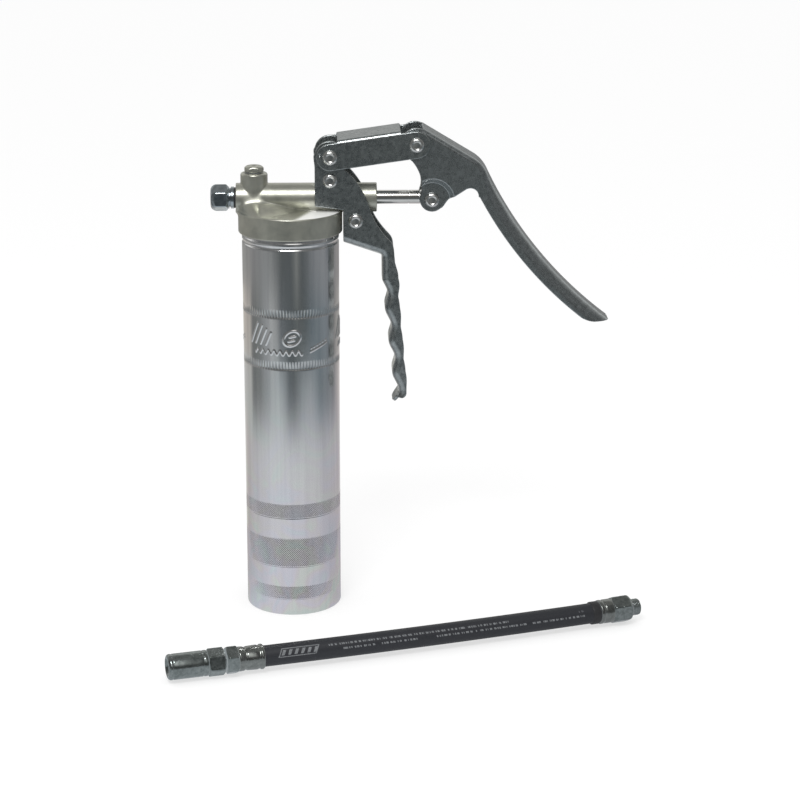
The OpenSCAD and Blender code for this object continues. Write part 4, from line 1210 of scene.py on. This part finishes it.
INNER_FINISH = {
    "tube_base": "inner_steel", "head_gasket": "black_rubber", "outlet_seal": "black_rubber",
    "check_ball": "rivet_metal", "vent_seal": "inner_steel", "plunger_seal": "black_rubber",
    "seal_retainer": "inner_steel", "rod_guide": "bush_brass", "rod_collar": "inner_steel",
    "link_washers": "inner_steel", "follower_plate": "inner_steel", "follower_cup": "black_rubber",
    "follower_rod": "polished_rod", "rod_nut": "inner_steel", "hose_braid": "inner_steel",
    "hose_liner": "black_rubber", "coupler_jaws": "inner_steel", "coupler_seal": "seal_rubber",
}
for name, finish in INNER_FINISH.items():
    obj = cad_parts[name]
    obj.data.materials.clear()
    obj.data.materials.append(FINISH[finish])
    obj.data.polygons.foreach_set("use_smooth", np.ones(len(obj.data.polygons), bool))
    obj.visible_glossy = not name.startswith(("hose", "coupler"))


# ---- Floor, light and camera ----

floor_mesh = bpy.data.meshes.new("floor")
floor_mesh.from_pydata([(-6, -6, 0), (6, -6, 0), (6, 6, 0), (-6, 6, 0)], [], [(0, 1, 2, 3)])
floor = bpy.data.objects.new("floor", floor_mesh)
bpy.context.scene.collection.objects.link(floor)
floor_look, tree, _ = start("floor_pale")
floor_mesh.materials.append(floor_look)
place = node(tree, "ShaderNodeNewGeometry").outputs["Position"]
part = node(tree, "ShaderNodeSeparateXYZ", {"Vector": place})
px, py = part.outputs[0], part.outputs[1]
away = node(tree, "ShaderNodeVectorMath", {0: place}, operation="LENGTH").outputs["Value"]
bearing = calc(tree, "ARCTAN2", px, times(tree, py, -1.0))
round_about = spread(tree, bearing, -math.pi, math.pi, 0, 1)


def bands(tree, stops, fac, low, high):
    """Colours along a line, as (place, colour) between low and high."""
    n = node(tree, "ShaderNodeValToRGB", {"Fac": fac})
    while len(n.color_ramp.elements) < len(stops):
        n.color_ramp.elements.new(0.5)
    for element, (at, colour) in zip(n.color_ramp.elements, stops):
        element.position = (at - low) / (high - low)
        element.color = rgb(*colour)
    return n.outputs[0]


# Colours of the room that bright metal mirrors, by direction from the front in degrees
FAR = [
    (-180, (0.920, 0.902, 0.849)), (-160, (0.578, 0.557, 0.505)), (-140, (0.467, 0.432, 0.398)),
    (-112, (0.414, 0.392, 0.360)), (-106, (0.168, 0.171, 0.168)), (-88, (0.168, 0.181, 0.174)),
    (-64, (0.264, 0.277, 0.286)), (-48, (0.420, 0.432, 0.432)), (-38, (0.355, 0.365, 0.365)),
    (-24, (0.113, 0.124, 0.136)), (0, (0.084, 0.098, 0.103)), (24, (0.080, 0.091, 0.091)),
    (32, (0.063, 0.077, 0.080)), (48, (0.098, 0.127, 0.145)), (64, (0.148, 0.181, 0.199)),
    (90, (0.188, 0.215, 0.238)), (120, (0.211, 0.207, 0.207)), (140, (0.334, 0.324, 0.310)),
    (160, (0.438, 0.426, 0.414)), (180, (0.876, 0.849, 0.832)),
]
MIDDLE = [
    (-180, (0.920, 0.920, 0.920)), (-160, (0.599, 0.599, 0.585)), (-140, (0.461, 0.467, 0.455)),
    (-112, (0.409, 0.420, 0.409)), (-104, (0.158, 0.171, 0.168)), (-80, (0.161, 0.174, 0.174)),
    (-56, (0.282, 0.305, 0.319)), (-36, (0.438, 0.486, 0.492)), (-22, (0.355, 0.398, 0.409)),
    (-6, (0.093, 0.111, 0.119)), (8, (0.103, 0.119, 0.124)), (24, (0.260, 0.296, 0.315)),
    (44, (0.355, 0.387, 0.403)), (56, (0.251, 0.286, 0.305)), (68, (0.151, 0.185, 0.203)),
    (100, (0.188, 0.207, 0.218)), (120, (0.234, 0.234, 0.243)), (140, (0.455, 0.426, 0.420)),
    (160, (0.649, 0.613, 0.599)), (180, (0.966, 0.920, 0.920)),
]
NEAR = [
    (-180, (0.966, 0.966, 0.966)), (-160, (0.710, 0.702, 0.672)), (-136, (0.455, 0.438, 0.432)),
    (-100, (0.492, 0.505, 0.518)), (-48, (0.585, 0.620, 0.642)), (0, (0.578, 0.606, 0.635)),
    (48, (0.518, 0.537, 0.557)), (90, (0.443, 0.455, 0.480)), (120, (0.455, 0.449, 0.467)),
    (144, (0.455, 0.432, 0.455)), (160, (0.672, 0.657, 0.672)), (180, (0.966, 0.966, 0.966)),
]
FARTHEST = [
    (-180, (0.34, 0.34, 0.33)), (-140, (0.30, 0.30, 0.29)), (-100, (0.24, 0.24, 0.24)), (-60, (0.24, 0.25, 0.25)),
    (-20, (0.09, 0.10, 0.10)), (0, (0.085, 0.095, 0.10)), (8, (0.14, 0.15, 0.15)), (14, (0.22, 0.23, 0.22)),
    (20, (0.14, 0.15, 0.15)), (28, (0.085, 0.095, 0.10)), (60, (0.22, 0.23, 0.24)), (100, (0.24, 0.25, 0.26)),
    (140, (0.27, 0.26, 0.26)), (180, (0.34, 0.33, 0.33)),
]
# Where each ring of the mirrored floor gives way to the next, in metres from the middle of the tube
RING_EDGES = [(0.34, 0.45), (0.50, 0.62), (0.77, 0.80)]
rings = [bands(tree, stops, round_about, -180, 180) for stops in (NEAR, MIDDLE, FAR, FARTHEST)]
seen_floor = rings[0]
for (inner, outer), ring in zip(RING_EDGES, rings[1:]):
    seen_floor = mix(tree, spread(tree, away, inner, outer, 0, 1), seen_floor, ring)
glow = node(tree, "ShaderNodeEmission", {"Color": seen_floor, "Strength": 1.0})
matt = node(tree, "ShaderNodeBsdfDiffuse", {"Color": rgb(0.93, 0.93, 0.93)})
lit = node(tree, "ShaderNodeEmission", {"Color": rgb(1.0, 1.0, 1.0), "Strength": 1.0})
rays = node(tree, "ShaderNodeLightPath").outputs
pale = node(tree, "ShaderNodeMixShader", {0: times(tree, rays["Is Camera Ray"], 0.6)})
tree.links.new(matt.outputs[0], pale.inputs[1])
tree.links.new(lit.outputs[0], pale.inputs[2])
blend = node(tree, "ShaderNodeMixShader", {0: rays["Is Glossy Ray"]})
tree.links.new(pale.outputs[0], blend.inputs[1])
tree.links.new(glow.outputs[0], blend.inputs[2])
tree.links.new(blend.outputs[0], tree.nodes["Material Output"].inputs["Surface"])

world = bpy.data.worlds.new("studio")
bpy.context.scene.world = world
world.use_nodes = True
tree = world.node_tree
view = node(tree, "ShaderNodeTexCoord").outputs["Generated"]
part = node(tree, "ShaderNodeSeparateXYZ", {"Vector": view})
over = calc(tree, "ARCTAN2", part.outputs[2], times(tree, part.outputs[1], -1.0))
# Brightness of the mirrored room over the top, by degrees above the horizon in front
SKY = [(-90, 0.5), (-10, 0.10), (14, 0.07), (24, 0.12), (34, 1.0), (46, 1.6), (60, 1.3), (78, 0.40), (100, 0.24),
       (125, 0.32), (145, 0.75), (160, 0.72), (171, 0.34), (180, 0.22)]
side = calc(tree, "ARCTAN2", part.outputs[0], times(tree, part.outputs[1], -1.0))
side = calc(tree, "ABSOLUTE", minus(tree, side, math.radians(8)))
window = spread(tree, side, math.radians(11), math.radians(24), 0, 1)
aside = times(tree, window, spread(tree, over, math.radians(78), math.radians(95), 1, 0))
turned_over = spread(tree, over, -math.pi, math.pi, 0, 1)
mirrored = bands(tree, [(at, (v / 2, v / 2, v * 0.49)) for at, v in SKY], turned_over, -180, 180)
mirrored = mix(tree, aside, mirrored, rgb(0.07, 0.072, 0.072))
mirrored = node(
    tree, "ShaderNodeVectorMath", {0: mirrored, 1: (2.0, 2.0, 2.0)}, operation="MULTIPLY").outputs[0]
colour = mix(tree, node(tree, "ShaderNodeLightPath").outputs["Is Glossy Ray"], rgb(1.0, 1.0, 1.0), mirrored)
tree.links.new(colour, tree.nodes["Background"].inputs["Color"])
tree.nodes["Background"].inputs["Strength"].default_value = 1.0


def softbox(name, at, towards, size, power):
    lamp = bpy.data.lights.new(name, "AREA")
    lamp.shape, lamp.size, lamp.size_y, lamp.energy = "RECTANGLE", size[0], size[1], power
    obj = bpy.data.objects.new(name, lamp)
    bpy.context.scene.collection.objects.link(obj)
    obj.location = at
    direction = np.array(towards) - np.array(at)
    obj.rotation_euler = Vector(direction).to_track_quat("-Z", "Y").to_euler()


softbox("key", (-0.15, -0.75, 1.15), (0.03, 0, 0.15), (0.45, 0.3), 6.0)

camera = bpy.data.cameras.new("camera")
camera.sensor_width, camera.lens = 36.0, 105.61
camera.clip_start, camera.clip_end = 0.05, 30.0
eye = bpy.data.objects.new("camera", camera)
bpy.context.scene.collection.objects.link(eye)
CAMERA_AT = (0.01727, -1.32490, 0.52983)
yaw, pitch, roll = math.radians(2.0), math.radians(17.0), math.radians(0.158)
eye.matrix_world = (
    Matrix.Translation(CAMERA_AT)
    @ Matrix.Rotation(-yaw, 4, "Z")
    @ Matrix.Rotation(math.pi / 2 - pitch, 4, "X")
    @ Matrix.Rotation(roll, 4, "Z")
)
bpy.context.scene.camera = eye
bpy.context.scene.view_settings.view_transform = "Standard"
